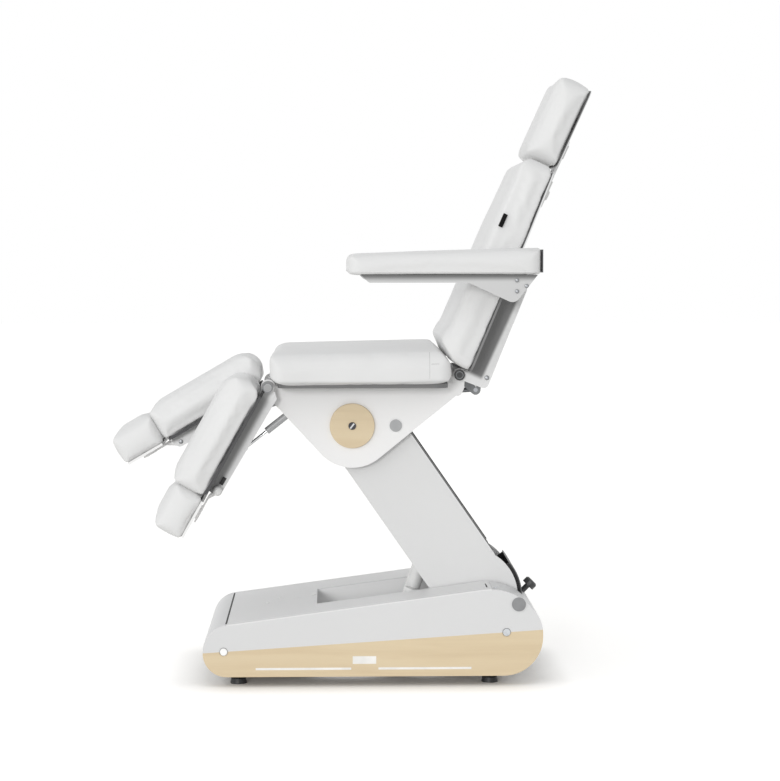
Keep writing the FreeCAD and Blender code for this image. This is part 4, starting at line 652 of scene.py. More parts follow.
@dataclass(frozen=True)
class PlasticFinish:
    """Moulded plastic with a fine spark-eroded texture."""

    name: str
    colour: Colour
    roughness: float = 0.45
    texture: float = 900.0
    depth: float = 0.00008
    gloss: float = 0.4
    cloud: float = 30.0
    tints: Pair = (0.93, 1.05)
    strength: float = 0.4
    wear: Pair = (-0.06, 0.06)

    def build(self) -> bpy.types.Material:
        """Lays out the finish's nodes.

        Returns:
            The material.
        """
        deck = NodeDeck(self.name)
        broad = deck.noise(deck.place, self.cloud)
        deck.feed("Base Color", deck.mottled(broad, self.colour, self.tints))
        fine = deck.noise(deck.place, self.texture)
        deck.feed("Normal", deck.bump(fine, self.depth, self.strength))
        deck.feed("Roughness", deck.wear(fine, self.roughness, self.wear))
        deck.fix(Specular_IOR_Level=self.gloss)
        return deck.material


@dataclass(frozen=True)
class MetalFinish:
    """Turned or plated metal with hairline marks."""

    name: str
    colour: Colour
    roughness: float = 0.25
    hairline: Triple = (40.0, 900.0, 40.0)
    mark_size: float = 2.0
    mark_detail: float = 3.0
    tints: Pair = (0.9, 1.06)
    depth: float = 0.00003
    strength: float = 0.3
    wear: Pair = (-0.08, 0.1)

    def build(self) -> bpy.types.Material:
        """Lays out the finish's nodes.

        Returns:
            The material.
        """
        deck = NodeDeck(self.name)
        marks = deck.noise(deck.mapped(self.hairline), self.mark_size, self.mark_detail)
        deck.feed("Base Color", deck.mottled(marks, self.colour, self.tints))
        deck.feed("Roughness", deck.wear(marks, self.roughness, self.wear))
        deck.feed("Normal", deck.bump(marks, self.depth, self.strength))
        deck.fix(Metallic=1.0)
        return deck.material


# Painted shade in the paints' colour: darker bands on the back plate beside the back cushion, on the back
# board beside and below it, on the headrest board beside its cushion, on the leg plates under the leg
# cushions, and on the armrest bracket and tray under the pad. TRIM_SHADE darkens the arm trim's rear edge.
BACK_PLATE_SHADE = Shade(BACK, -55.0, -66.0, 0.23, 8.0)
BACK_BOARD_SHADES = (Shade(BACK_BOARD, -2.0, -3.0, 0.13), Shade(BACK, -400.0, -401.0, 0.27, 320.0, -40.0))
HEADREST_SHADE = Shade(BACK, -7.5, -8.5, 0.15)
TRIM_SHADE = Shade(LIFT_ARM, -121.3, -120.4, 0.12)
LEFT_LEG_SHADE = Shade(Side.LEFT.leg, -8.0, -24.0, 0.36)
RIGHT_LEG_SHADE = Shade(Side.RIGHT.leg, -4.0, -16.0, 0.6)
UNDER_PAD_SHADE = Shade(DRAWING, 1120.0, 1101.0, 0.20)

# Painted shade: the seam leather is the panel leather darkened, for the shade in the seams' creases.
LEATHERS = (
    LeatherFinish(Leather.PANEL, (0.778, 0.778, 0.774)),
    LeatherFinish(Leather.SEAM, (0.50, 0.50, 0.495)),
)
PAINTS = (
    PaintFinish("white_paint", (0.722, 0.724, 0.726)),
    PaintFinish("seat_paint", (0.905, 0.900, 0.895)),
    PaintFinish("panel_paint", (0.800, 0.800, 0.798)),
    PaintFinish("arm_paint", (0.735, 0.735, 0.732)),
    PaintFinish("liner_paint", (0.900, 0.900, 0.898)),
    PaintFinish("back_paint", (0.840, 0.840, 0.838), shades=(BACK_PLATE_SHADE,)),
    PaintFinish("back_board_paint", (0.80, 0.80, 0.80), shades=BACK_BOARD_SHADES),
    PaintFinish("headrest_paint", (0.80, 0.80, 0.80), shades=(HEADREST_SHADE,)),
    # Painted shade in part: the seat board's dark grey stands for the shadow gap under the seat cushion.
    PaintFinish("seat_board_paint", (0.17, 0.17, 0.17), 0.5),
    PaintFinish("trim_paint", (0.74, 0.74, 0.74), 0.5, (TRIM_SHADE,)),
    # The two leg paints are copies of one paint: the right one is lighter and has lighter painted shade,
    # matched to how each leg is lit.
    PaintFinish("left_leg_paint", (0.840, 0.840, 0.838), shades=(LEFT_LEG_SHADE,)),
    PaintFinish("right_leg_paint", (0.860, 0.860, 0.858), shades=(RIGHT_LEG_SHADE,)),
    # Painted shade: the bracket and tray paints are darker than the other whites for the shade under the
    # armrest pad, and darker still at the top.
    PaintFinish("bracket_paint", (0.610, 0.610, 0.608), shades=(UNDER_PAD_SHADE,)),
    PaintFinish("tray_paint", (0.66, 0.66, 0.66), 0.42, (UNDER_PAD_SHADE,)),
    PaintFinish("grey_paint", (0.20, 0.205, 0.21), 0.5),
    PaintFinish("spring_paint", (0.46, 0.465, 0.47), 0.3),
)
PLASTICS = (
    PlasticFinish("dark_plastic", (0.024, 0.024, 0.025)),
    PlasticFinish("knob_plastic", (0.055, 0.056, 0.058), 0.4),
    PlasticFinish("hood_plastic", (0.12, 0.122, 0.125), 0.4),
    PlasticFinish("grey_plastic", (0.270, 0.272, 0.278), 0.42),
    PlasticFinish("light_grey_plastic", (0.42, 0.425, 0.43), 0.42),
    PlasticFinish("tray_plastic", (0.43, 0.43, 0.43), 0.4),
    PlasticFinish("white_plastic", (0.82, 0.82, 0.81), 0.25, 300.0, 0.00003, 0.5),
    PlasticFinish("tag_cloth", (0.010, 0.010, 0.010), 0.9, 1500.0, 0.0002, 0.1),
    PlasticFinish("ivory", (0.90, 0.89, 0.86), 0.3),
    PlasticFinish("rubber", (0.060, 0.060, 0.060), 0.7, 500.0, 0.00012, 0.25),
    PlasticFinish("laminate", (0.075, 0.075, 0.078), 0.55, 700.0, 0.0001, 0.3),
)
METALS = (
    MetalFinish("brushed_steel", (0.40, 0.41, 0.43), 0.34),
    MetalFinish("zinc", (0.52, 0.54, 0.56), 0.38),
    MetalFinish("pale_zinc", (0.70, 0.70, 0.69), 0.42),
    MetalFinish("gunmetal", (0.20, 0.205, 0.21), 0.4),
    MetalFinish("blued_steel", (0.065, 0.065, 0.070), 0.3),
    MetalFinish("polished_steel", (0.66, 0.67, 0.68), 0.16),
    MetalFinish("bronze", (0.66, 0.50, 0.28), 0.3),
)


class Workshop:
    """Every finish of the chair, built once."""

    def __init__(self) -> None:
        """Builds the materials."""
        finishes = (*LEATHERS, *PAINTS, MapleFinish(), *PLASTICS, *METALS)
        self.materials = {finish.name: finish.build() for finish in finishes}

    def pick(self, *names: str) -> list[bpy.types.Material]:
        """Returns the materials of some finishes."""
        return [self.materials[name] for name in names]

    def dress(self, obj: bpy.types.Object, finish: str) -> None:
        """Gives a mesh one finish over all its faces.

        Args:
            obj: the mesh object.
            finish: the finish's name.
        """
        slots = obj.data.materials
        if not slots:
            slots.append(self.materials[finish])
        for index in range(len(slots)):
            slots[index] = self.materials[finish]


@dataclass
class Cushion:
    """A stuffed pad grown from its foam block: remeshed, inflated as cloth, then subdivided.

    The lip is how far the cover wraps down over the edge of the board, in millimetres.
    """

    node: str
    body: str
    voxel: float = 0.006
    shrink: float = 0.0012
    pressure: float = 4.0
    cap: float = 0.0045
    soften: int = 9
    soften_factor: float = 0.5
    hold: float = 0.7
    settle: int = 3
    fill: float = 0.8
    lip: float = 0.0
    lip_width: float = 7.0
    lip_height: float = 30.0
    lip_rim: float = 2.0
    lip_end: float = 6.0
    lip_run_out: float = 30.0
    place: LocalFrame = DRAWING
    cover_quality: int = 4
    cover_mass: float = 0.3
    stretch_stiffness: float = 20.0
    shear_stiffness: float = 8.0
    bending_stiffness: float = 2.0
    frames: int = 20

    def build(self, shop: Workshop) -> bpy.types.Object:
        """Makes the cushion and puts it on its body.

        Args:
            shop: the finishes.

        Returns:
            The cushion object.
        """
        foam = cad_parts[self.node]
        block = bpy.data.objects.new("foam_block", foam.data.copy())
        bpy.context.scene.collection.objects.link(block)
        remesh = block.modifiers.new("cloth_grid", "REMESH")
        remesh.mode = "VOXEL"
        remesh.voxel_size = self.voxel
        self.soften_by(block, self.soften)
        pad = self.settled(block, self.node + "_pad")
        self.hug(pad, foam)
        self.draw_in(pad)
        self.inflate(pad)
        self.soften_by(pad, self.settle)
        pad = self.settled(pad, self.node + "_pad")
        if self.lip > 0.0:
            self.wrap_edge(pad)
        smoothed(pad.data)
        rounder = pad.modifiers.new("rounder", "SUBSURF")
        rounder.levels = 1
        rounder.render_levels = 1
        shop.dress(pad, "leather_panel")
        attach(pad, self.body)
        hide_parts(self.node)
        log.info("cushion %s, %d points", pad.name, len(pad.data.vertices))
        return pad

    def soften_by(self, obj: bpy.types.Object, rounds: int) -> None:
        """Adds a smoothing pass.

        Args:
            obj: the mesh object.
            rounds: how often it is smoothed.
        """
        smooth = obj.modifiers.new("soften", "SMOOTH")
        smooth.factor = self.soften_factor
        smooth.iterations = rounds

    @staticmethod
    def settled(block: bpy.types.Object, name: str) -> bpy.types.Object:
        """Applies the block's modifiers into a new object.

        Args:
            block: the object with modifiers; it is removed.
            name: the new object's name.

        Returns:
            The new object.
        """
        graph = bpy.context.evaluated_depsgraph_get()
        mesh = bpy.data.meshes.new_from_object(block.evaluated_get(graph))
        bpy.data.objects.remove(block)
        mesh.name = name
        pad = bpy.data.objects.new(name, mesh)
        bpy.context.scene.collection.objects.link(pad)
        return pad

    def hug(self, pad: bpy.types.Object, foam: bpy.types.Object) -> None:
        """Pulls the smoothed skin back towards the foam block, so that its corners keep their size.

        Args:
            pad: the cushion's mesh object.
            foam: the foam block.
        """
        corners = [vertex.co for vertex in foam.data.vertices]
        faces = [tuple(face.vertices) for face in foam.data.polygons]
        tree = BVHTree.FromPolygons(corners, faces)
        for vertex in pad.data.vertices:
            near = tree.find_nearest(vertex.co)[0]
            if near is not None:
                vertex.co = vertex.co.lerp(near, self.hold)
        pad.data.update()

    def draw_in(self, pad: bpy.types.Object) -> None:
        """Shrinks the pad along its normals, so that it can swell again.

        Args:
            pad: the cushion's mesh object.
        """
        mesh = pad.data
        moved = [vertex.co - vertex.normal * self.shrink for vertex in mesh.vertices]
        for vertex, place in zip(mesh.vertices, moved):
            vertex.co = place
        mesh.update()

    def inflate(self, pad: bpy.types.Object) -> None:
        """Blows the pad up as cloth and caps how far each point moves.

        Args:
            pad: the cushion's mesh object.
        """
        start = [vertex.co.copy() for vertex in pad.data.vertices]
        cloth = pad.modifiers.new("cloth", "CLOTH")
        settings = cloth.settings
        settings.quality = self.cover_quality
        settings.mass = self.cover_mass
        settings.use_pressure = True
        settings.uniform_pressure_force = self.pressure
        settings.tension_stiffness = self.stretch_stiffness
        settings.compression_stiffness = self.stretch_stiffness
        settings.shear_stiffness = self.shear_stiffness
        settings.bending_stiffness = self.bending_stiffness
        settings.effector_weights.gravity = 0.0
        cloth.collision_settings.use_collision = False
        scene = bpy.context.scene
        for step in range(1, self.frames + 1):
            scene.frame_set(step)
        graph = bpy.context.evaluated_depsgraph_get()
        blown = pad.evaluated_get(graph).data
        reached = [vertex.co.copy() for vertex in blown.vertices]
        pad.modifiers.remove(cloth)
        scene.frame_set(1)
        for vertex, origin, end in zip(pad.data.vertices, start, reached):
            move = end - origin
            if move.length > self.cap:
                move = move.normalized() * self.cap
            vertex.co = origin + move
        pad.data.update()

    def wrap_edge(self, pad: bpy.types.Object) -> None:
        """Draws the cover down over the edge of the board that carries the pad.

        Args:
            pad: the cushion's mesh object.
        """
        spots = [self.place.into(vertex.co) for vertex in pad.data.vertices]
        low = [min(spot[axis] for spot in spots) for axis in range(3)]
        high = [max(spot[axis] for spot in spots) for axis in range(3)]
        down = self.place.out(0.0, 0.0, -self.lip) - self.place.out(0.0, 0.0, 0.0)
        for vertex, spot in zip(pad.data.vertices, spots):
            rim = min(spot.y - low[1], high[1] - spot.y)
            edge = clamped(1.0 - (rim - self.lip_rim) / self.lip_width)
            edge *= clamped((high[0] - spot.x - self.lip_end) / self.lip_run_out)
            foot = clamped(1.0 - (spot.z - low[2]) / self.lip_height)
            vertex.co += down * edge * foot
        pad.data.update()


@dataclass
class SeamLine:
    """A sewn seam that follows a cushion's skin along a cutting plane."""

    name: str
    body: str
    point: Vector
    normal: Vector
    low: Vector
    high: Vector
    radius: float = 0.0011
    sink: float = 0.0004
    # The seam leather's darker colour is painted shade along the seam.
    finish: str = "leather_seam"
    step: float = 0.004
    corners: int = 6

    def build(self, pad: bpy.types.Object, shop: Workshop) -> None:
        """Cuts the skin with the plane and lays a thin welt on the cut.

        Args:
            pad: the cushion that carries the seam.
            shop: the finishes.
        """
        graph = bpy.context.evaluated_depsgraph_get()
        skin = bpy.data.meshes.new_from_object(pad.evaluated_get(graph))
        sheet = bmesh.new()
        sheet.from_mesh(skin)
        cut = split_at(sheet, self.point, self.normal)
        edges = [item for item in cut if isinstance(item, bmesh.types.BMEdge)
                 and all(self.inside(corner.co) for corner in item.verts)]
        if edges:
            set_down(self.name, self.welt(edges, shop), self.body)
        else:
            log.warning("seam %s misses its cushion", self.name)
        sheet.free()
        bpy.data.meshes.remove(skin)

    def inside(self, place: Vector) -> bool:
        """Tells whether a point lies in the seam's stretch."""
        return all(self.low[axis] <= place[axis] <= self.high[axis] for axis in range(3))

    def welt(self, edges: list[bmesh.types.BMEdge], shop: Workshop) -> bpy.types.Mesh:
        """Turns the cut's edges into one or more round welts.

        Args:
            edges: the edges on the plane.
            shop: the finishes.

        Returns:
            The mesh.
        """
        links: dict[int, list[int]] = {}
        spots: dict[int, Vector] = {}
        for edge in edges:
            first, second = edge.verts
            for corner in edge.verts:
                spots[corner.index] = corner.co - corner.normal * self.sink
            links.setdefault(first.index, []).append(second.index)
            links.setdefault(second.index, []).append(first.index)
        out = bmesh.new()
        for path in trace_paths(links):
            sweep_round(out, thinned([spots[key] for key in path], self.step), self.radius, self.corners)
        mesh = meshed(out, self.name, shop.pick(self.finish))
        smoothed(mesh)
        return mesh


def trace_paths(links: dict[int, list[int]], shortest: int = 4) -> list[list[int]]:
    """Orders linked points into runs.

    Args:
        links: the neighbours of each point.
        shortest: how many points a run needs.

    Returns:
        Lists of point keys in order.
    """
    left = set(links)
    paths = []
    while left:
        ends = [key for key in sorted(left) if len(links[key]) == 1]
        key = ends[0] if ends else min(left)
        path = [key]
        left.discard(key)
        while onward := [other for other in links[key] if other in left]:
            key = onward[0]
            left.discard(key)
            path.append(key)
        if len(path) >= shortest:
            paths.append(path)
    return paths


def thinned(points: list[Vector], step: float) -> list[Vector]:
    """Drops points that lie closer together than a step.

    Args:
        points: the points in order.
        step: the least distance.

    Returns:
        The points that stay.
    """
    kept = [points[0]]
    for point in points[1:]:
        if (point - kept[-1]).length >= step:
            kept.append(point)
    return kept


def sweep_round(out: bmesh.types.BMesh, points: list[Vector], radius: float, count: int) -> None:
    """Sweeps a round section along points.

    Args:
        out: the sheet that takes the sweep.
        points: the path.
        radius: the section's radius.
        count: corners of the section.
    """
    if len(points) < 2:
        return
    rings = []
    side = (points[1] - points[0]).orthogonal().normalized()
    for index, point in enumerate(points):
        ahead = points[min(index + 1, len(points) - 1)] - points[max(index - 1, 0)]
        ahead.normalize()
        side = (side - ahead * side.dot(ahead)).normalized()
        rings.append(round_ring(out, point, (side, ahead.cross(side)), radius, count))
    bridge(out, rings)


@dataclass
class Upholstery:
    """All cushions of the chair with their seams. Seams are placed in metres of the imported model."""

    shop: Workshop
    seat_reach: Pair = (0.24, 0.32)
    seam_x: float = 0.219
    seam_span: Pair = (0.200, 0.240)
    seam_rise: Pair = (0.838, 0.911)
    tuck_level: float = 0.875
    tuck_fall: float = 0.02
    tuck_span: Pair = (0.222, 0.283)
    tuck_rise: Pair = (0.870, 0.880)
    piping_rise: float = 0.0075
    piping_reach: float = 0.01

    def build(self) -> None:
        """Makes every cushion and seam."""
        pads = {cushion.node: cushion.build(self.shop) for cushion in self.cushions()}
        for side in Side:
            self.sew_seat(pads["seat_cushion"], side)
            self.sew_armrest(pads["armrest_pad_" + side.value], side)

    @staticmethod
    def cushions() -> list[Cushion]:
        """Lists every cushion with its settings.

        Returns:
            The cushions, not yet made.
        """
        plan = [
            Cushion("seat_cushion", "seat", shrink=0.0004, cap=0.0055),
            Cushion("back_cushion", "back", shrink=0.0004, cap=0.0060),
            Cushion("headrest_cushion", "headrest", voxel=0.005, shrink=0.0006, cap=0.0050),
        ]
        for side in Side:
            name = side.value
            plan += [
                Cushion("armrest_pad_" + name, "armrest_" + name, voxel=0.0045, soften=5, cap=0.0025),
                Cushion("leg_cushion_" + name, "leg_" + name, voxel=0.005, shrink=0.0004, cap=0.0065),
                Cushion("foot_cushion_" + name, "foot_" + name, voxel=0.0045, soften=7, shrink=0.0004,
                        cap=0.0065, lip=10.0, place=side.leg),
            ]
        return plan

    def sew_seat(self, pad: bpy.types.Object, side: Side) -> None:
        """Lays the seat's boxing seam and the tuck behind it on one side.

        Args:
            pad: the seat cushion.
            side: the chair's side.
        """
        inner, outer = sorted(side.sign * reach for reach in self.seat_reach)
        near = Vector((self.seam_span[0], inner, self.seam_rise[0]))
        far = Vector((self.seam_span[1], outer, self.seam_rise[1]))
        SeamLine("seat_side_seam_" + side.value, "seat", Vector((self.seam_x, 0.0, 0.0)),
                 Vector((1.0, 0.0, 0.0)), near, far, radius=0.0007, sink=0.0003).build(pad, self.shop)
        near = Vector((self.tuck_span[0], inner, self.tuck_rise[0]))
        far = Vector((self.tuck_span[1], outer, self.tuck_rise[1]))
        slant = Vector((-self.tuck_fall, 0.0, 1.0))
        SeamLine("seat_tuck_" + side.value, "seat", Vector((0.0, 0.0, self.tuck_level)), slant, near, far,
                 radius=0.0009, sink=0.0005).build(pad, self.shop)

    def sew_armrest(self, pad: bpy.types.Object, side: Side) -> None:
        """Lays the piping round the foot of one armrest pad.

        Args:
            pad: the armrest pad.
            side: the chair's side.
        """
        low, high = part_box("armrest_pad_" + side.value)
        reach = Vector((self.piping_reach, self.piping_reach, self.piping_reach))
        foot = Vector((0.0, 0.0, low.z + self.piping_rise))
        SeamLine("armrest_piping_" + side.value, "armrest_" + side.value, foot, Vector((0.0, 0.0, 1.0)),
                 low - reach, high + reach, radius=0.0016, sink=0.0002,
                 finish="leather_panel").build(pad, self.shop)


@dataclass
class Structure:
    """The carried-over pieces and their finishes."""

    shop: Workshop

    def build(self) -> None:
        """Dresses every node that stays in view in one finish."""
        plan = {
            "white_paint": ["base_cover", "base_skirts", "seat_hinge_tubes"],
            "seat_paint": ["seat_plates", "seat_crossframe"],
            "panel_paint": ["top_panel"],
            "arm_paint": ["lift_arm", "rear_link"],
            "liner_paint": ["well_liner"],
            "grey_paint": ["base_chassis"],
            # Painted shade: the seat board, back board, headrest and bracket paints carry painted shade in
            # their colour.
            "seat_board_paint": ["seat_board"],
            "back_board_paint": ["back_board"],
            "headrest_paint": ["headrest_frame"],
            "trim_paint": ["arm_edge_trim"],
            "bracket_paint": self.both("armrest_bracket_"),
            "spring_paint": self.both("gas_spring_cylinder_"),
            "maple": ["wood_panels", "wood_discs"],
            "knob_plastic": ["rear_clamp_knob"],
            "grey_plastic": ["base_caps"],
            "light_grey_plastic": ["seat_caps"],
            "dark_plastic": ["levelling_feet", "control_box", "mains_inlet", "back_actuator_tube"],
            "white_plastic": ["headrest_guide", "head_lock_knob", "lift_actuator_tube",
                              *self.both("leg_knob_")],
            "tag_cloth": ["back_tag"],
            "brushed_steel": ["base_pivot_pins", "lift_actuator_rod", "back_screws"],
            "gunmetal": ["back_actuator_rod"],
            "polished_steel": ["seat_pivot_pins", *self.both("gas_spring_rod_")],
            "bronze": ["arm_pivot_fittings"],
        }
        for finish, nodes in plan.items():
            for node in nodes:
                self.shop.dress(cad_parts[node], finish)
                log.info("finish %s on %s", finish, node)

    @staticmethod
    def both(stem: str) -> list[str]:
        """Returns the names of a pair of nodes."""
        return [stem + side.value for side in Side]


@dataclass(frozen=True)
class Zone:
    """A box in a piece's own frame, in millimetres, whose faces take another finish."""

    place: LocalFrame
    low: Triple
    high: Triple
    finish: str

    def holds(self, point: Vector) -> bool:
        """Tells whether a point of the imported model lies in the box."""
        local = self.place.into(point)
        return all(self.low[axis] <= local[axis] <= self.high[axis] for axis in range(3))


@dataclass(frozen=True)
class TwoTone:
    """A stand-in for a CAD node that carries more than one finish."""

    node: str
    body: str
    finish: str
    zones: tuple[Zone, ...]

    def build(self, shop: Workshop) -> None:
        """Copies the node's mesh and gives each face its finish.

        Args:
            shop: the finishes.
        """
        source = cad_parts[self.node]
        name = self.node + "_finished"
        mesh = source.data.copy()
        mesh.name = name
        mesh.materials.clear()
        for material in shop.pick(self.finish, *(zone.finish for zone in self.zones)):
            mesh.materials.append(material)
        for face in mesh.polygons:
            centre = source.matrix_world @ face.center
            face.material_index = 0
            for index, zone in enumerate(self.zones):
                if zone.holds(centre):
                    face.material_index = index + 1
        piece = bpy.data.objects.new(name, mesh)
        piece.matrix_world = source.matrix_world.copy()
        bpy.context.scene.collection.objects.link(piece)
        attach(piece, self.body)
        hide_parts(self.node)
        log.info("two-tone %s", self.node)


@dataclass(frozen=True)
class PaintShop:
    """The pieces of which one part has another finish."""

    shop: Workshop
    rear_screws: Zone = Zone(DRAWING, (400.0, -400.0, 0.0), (480.0, 400.0, 300.0), "zinc")
    levers: Zone = Zone(DRAWING, (290.0, -29.0, 760.0), (420.0, 29.0, 838.0), "gunmetal")
    # Painted shade: the tray's end plate takes dark plastic to show the armrest's shaded rear end.
    tray_plate: Zone = Zone(DRAWING, (520.8, -400.0, 1100.0), (530.0, 400.0, 1220.0), "knob_plastic")
    board_low: Triple = (0.0, -400.0, 1.4)
    board_high: Triple = (400.0, 400.0, 10.0)
    stop_x: Pair = (270.0, 330.0)
    stop_y: Pair = (196.1, 207.0)
    stop_z: Pair = (-26.0, -8.0)

    def build(self) -> None:
        """Makes the stand-ins."""
        TwoTone("base_screws", "base", "pale_zinc", (self.rear_screws,)).build(self.shop)
        # back_paint, tray_paint and the leg paints carry painted shade in their colour.
        TwoTone("back_frame", "back", "back_paint", (self.levers,)).build(self.shop)
        for side in Side:
            name = side.value
            TwoTone("armrest_tray_" + name, "armrest_" + name, "tray_paint",
                    (self.tray_plate,)).build(self.shop)
            inner, outer = sorted(side.sign * reach for reach in self.stop_y)
            # The leg board's dark laminate is partly painted shade: it deepens the dark band under the leg
            # cushion.
            board = Zone(side.leg, self.board_low, self.board_high, "laminate")
            stop = Zone(side.leg, (self.stop_x[0], inner, self.stop_z[0]),
                        (self.stop_x[1], outer, self.stop_z[1]), "dark_plastic")
            TwoTone("leg_frame_" + name, "leg_" + name, name + "_leg_paint", (board, stop)).build(self.shop)


@dataclass(frozen=True)
class Turned:
    """A small turned piece: a profile of radius and height in millimetres, spun about its axis."""

    name: str
    body: str
    centre: Vector
    outward: Vector
    profile: Profile
    finish: str
    count: int = 32
    smooth: bool = False
    stands_for: str = ""

    def build(self, shop: Workshop) -> None:
        """Makes the piece.

        Args:
            shop: the finishes.
        """
        side = self.outward.orthogonal().normalized()
        axes = (side, self.outward.cross(side))
        sheet = bmesh.new()
        rings = []
        for radius, height in self.profile:
            foot = self.centre + self.outward * height * MILLIMETRE
            rings.append(round_ring(sheet, foot, axes, radius * MILLIMETRE, self.count))
        bridge(sheet, rings)
        bmesh.ops.recalc_face_normals(sheet, faces=sheet.faces)
        mesh = meshed(sheet, self.name, shop.pick(self.finish))
        if self.smooth:
            smoothed(mesh)
        set_down(self.name, mesh, self.body, self.stands_for)


@dataclass(frozen=True)
class Screw:
    """A dark washer and a bright domed head over the plain head of a CAD screw."""

    name: str
    body: str
    centre: Vector
    outward: Vector
    radius: float
    head: float = 2.0
    lip: float = 0.5
    lip_rise: float = 0.2
    washer_share: float = 0.6
    dome_shares: tuple[float, ...] = (0.68, 0.62, 0.35, 0.30)
    dome_rises: tuple[float, ...] = (0.0, 0.9, 1.3, 1.2)

    def build(self, shop: Workshop) -> None:
        """Makes the two pieces.

        Args:
            shop: the finishes.
        """
        rim = self.radius + self.lip
        washer = ((rim, 0.0), (rim, self.head + self.lip_rise),
                  (self.radius * self.washer_share, self.head + self.lip))
        Turned(self.name + "_washer", self.body, self.centre, self.outward, washer, "gunmetal").build(shop)
        dome = tuple((self.radius * share, self.head + rise)
                     for share, rise in zip(self.dome_shares, self.dome_rises))
        Turned(self.name + "_head", self.body, self.centre, self.outward, dome, "brushed_steel").build(shop)


@dataclass(frozen=True)
class Screws:
    """The screws that hold the armrests, the back's side plates and the leg rests."""

    shop: Workshop
    bracket_places: tuple[Pair, ...] = ((454.0, 1106.5), (479.5, 1091.3), (454.0, 1077.3))
    bracket_y: float = 374.0
    bracket_radius: float = 5.0
    back_place: Triple = (24.0, 176.0, -72.0)
    leg_place: Triple = (307.0, 60.0, -18.0)
    plate_radius: float = 6.0

    def build(self, side: Side) -> None:
        """Makes the screws of one side.

        Args:
            side: the chair's side.
        """
        name = side.value
        for index, (x, z) in enumerate(self.bracket_places):
            centre = DRAWING.out(x, side.sign * self.bracket_y, z)
            Screw("bracket_screw_%s_%d" % (name, index), "armrest_" + name, centre, side.outward,
                  self.bracket_radius).build(self.shop)
        along, y, across = self.back_place
        Screw("back_screw_" + name, "back", BACK.out(along, side.sign * y, across), side.outward,
              self.plate_radius).build(self.shop)
        along, y, across = self.leg_place
        Screw("leg_screw_" + name, "leg_" + name, side.leg.out(along, side.sign * y, across), -side.outward,
              self.plate_radius).build(self.shop)


@dataclass(frozen=True)
class HingeEnds:
    """The rims, caps and bushes in the ends of the seat's two cross tubes."""

    shop: Workshop
    leg_tube_y: float = 205.0
    leg_rim: Profile = ((13.6, -6.0), (13.6, 0.4), (10.6, 0.4), (10.6, -1.5))
    leg_cap: Profile = ((10.4, -6.0), (10.4, -0.6), (9.2, 0.2))
    back_tube_y: float = 184.0
    back_bush: Profile = ((15.0, -4.0), (15.0, 0.8), (10.5, 1.4))
    back_ring: Profile = ((10.5, 0.5), (10.5, 2.0), (8.5, 2.0), (8.0, 1.2))

    def build(self, side: Side) -> None:
        """Makes the ends of one side.

        Args:
            side: the chair's side.
        """
        front = side.leg.out(0.0, side.sign * self.leg_tube_y, 0.0)
        rear = BACK.out(0.0, side.sign * self.back_tube_y, 0.0)
        for name, centre, profile, finish in (
                ("leg_tube_rim_", front, self.leg_rim, "gunmetal"),
                ("leg_tube_cap_", front, self.leg_cap, "tray_plastic"),
                ("back_tube_bush_", rear, self.back_bush, "knob_plastic"),
                ("back_tube_ring_", rear, self.back_ring, "gunmetal")):
            Turned(name + side.value, "seat", centre, side.outward, profile, finish).build(self.shop)


@dataclass(frozen=True)
class LegBall:
    """The turned ball of a leg's locking pin, on its short neck."""

    shop: Workshop
    along: float = 313.0
    start_y: float = 205.3
    across: float = -18.0
    radius: float = 13.7
    neck: Pair = (4.0, -8.0)
    low_angle: float = -72.0
    high_angle: float = 90.0
    tip_radius: float = 0.05
    steps: int = 14
    count: int = 40

    def build(self, side: Side) -> None:
        """Makes the ball of one side.

        Args:
            side: the chair's side.
        """
        rows = [self.neck]
        for index in range(self.steps + 1):
            turn = math.radians(self.low_angle + (self.high_angle - self.low_angle) * index / self.steps)
            reach = max(self.tip_radius, self.radius * math.cos(turn))
            rows.append((reach, self.radius * (1.0 + math.sin(turn))))
        name = "leg_knob_" + side.value
        centre = side.leg.out(self.along, side.sign * self.start_y, self.across)
        Turned(name + "_ball", name, centre, side.outward, tuple(rows), "white_plastic", self.count, True,
               name).build(self.shop)


@dataclass(frozen=True)
class FootBars:
    """The foot rest's frame, its slide bars joggled up against the foot board."""

    shop: Workshop
    start: float = 332.0
    end: float = 350.0
    squeeze: float = 0.4

    def build(self, side: Side) -> None:
        """Makes the frame of one side.

        Args:
            side: the chair's side.
        """
        node = "foot_frame_" + side.value
        sheet = bmesh.new()
        sheet.from_mesh(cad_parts[node].data)
        run = side.leg.out(1.0, 0.0, 0.0) - side.leg.out(0.0, 0.0, 0.0)
        for station in (self.start, self.end):
            split_at(sheet, side.leg.out(station, 0.0, 0.0), run)
        for corner in sheet.verts:
            spot = side.leg.into(corner.co)
            if spot.z < 0.0:
                share = clamped((spot.x - self.start) / (self.end - self.start))
                height = spot.z * (1.0 - share * (1.0 - self.squeeze))
                corner.co = side.leg.out(spot.x, spot.y, height)
        name = node + "_joggled"
        set_down(name, meshed(sheet, name, self.shop.pick("seat_paint")), "foot_" + side.value, node)


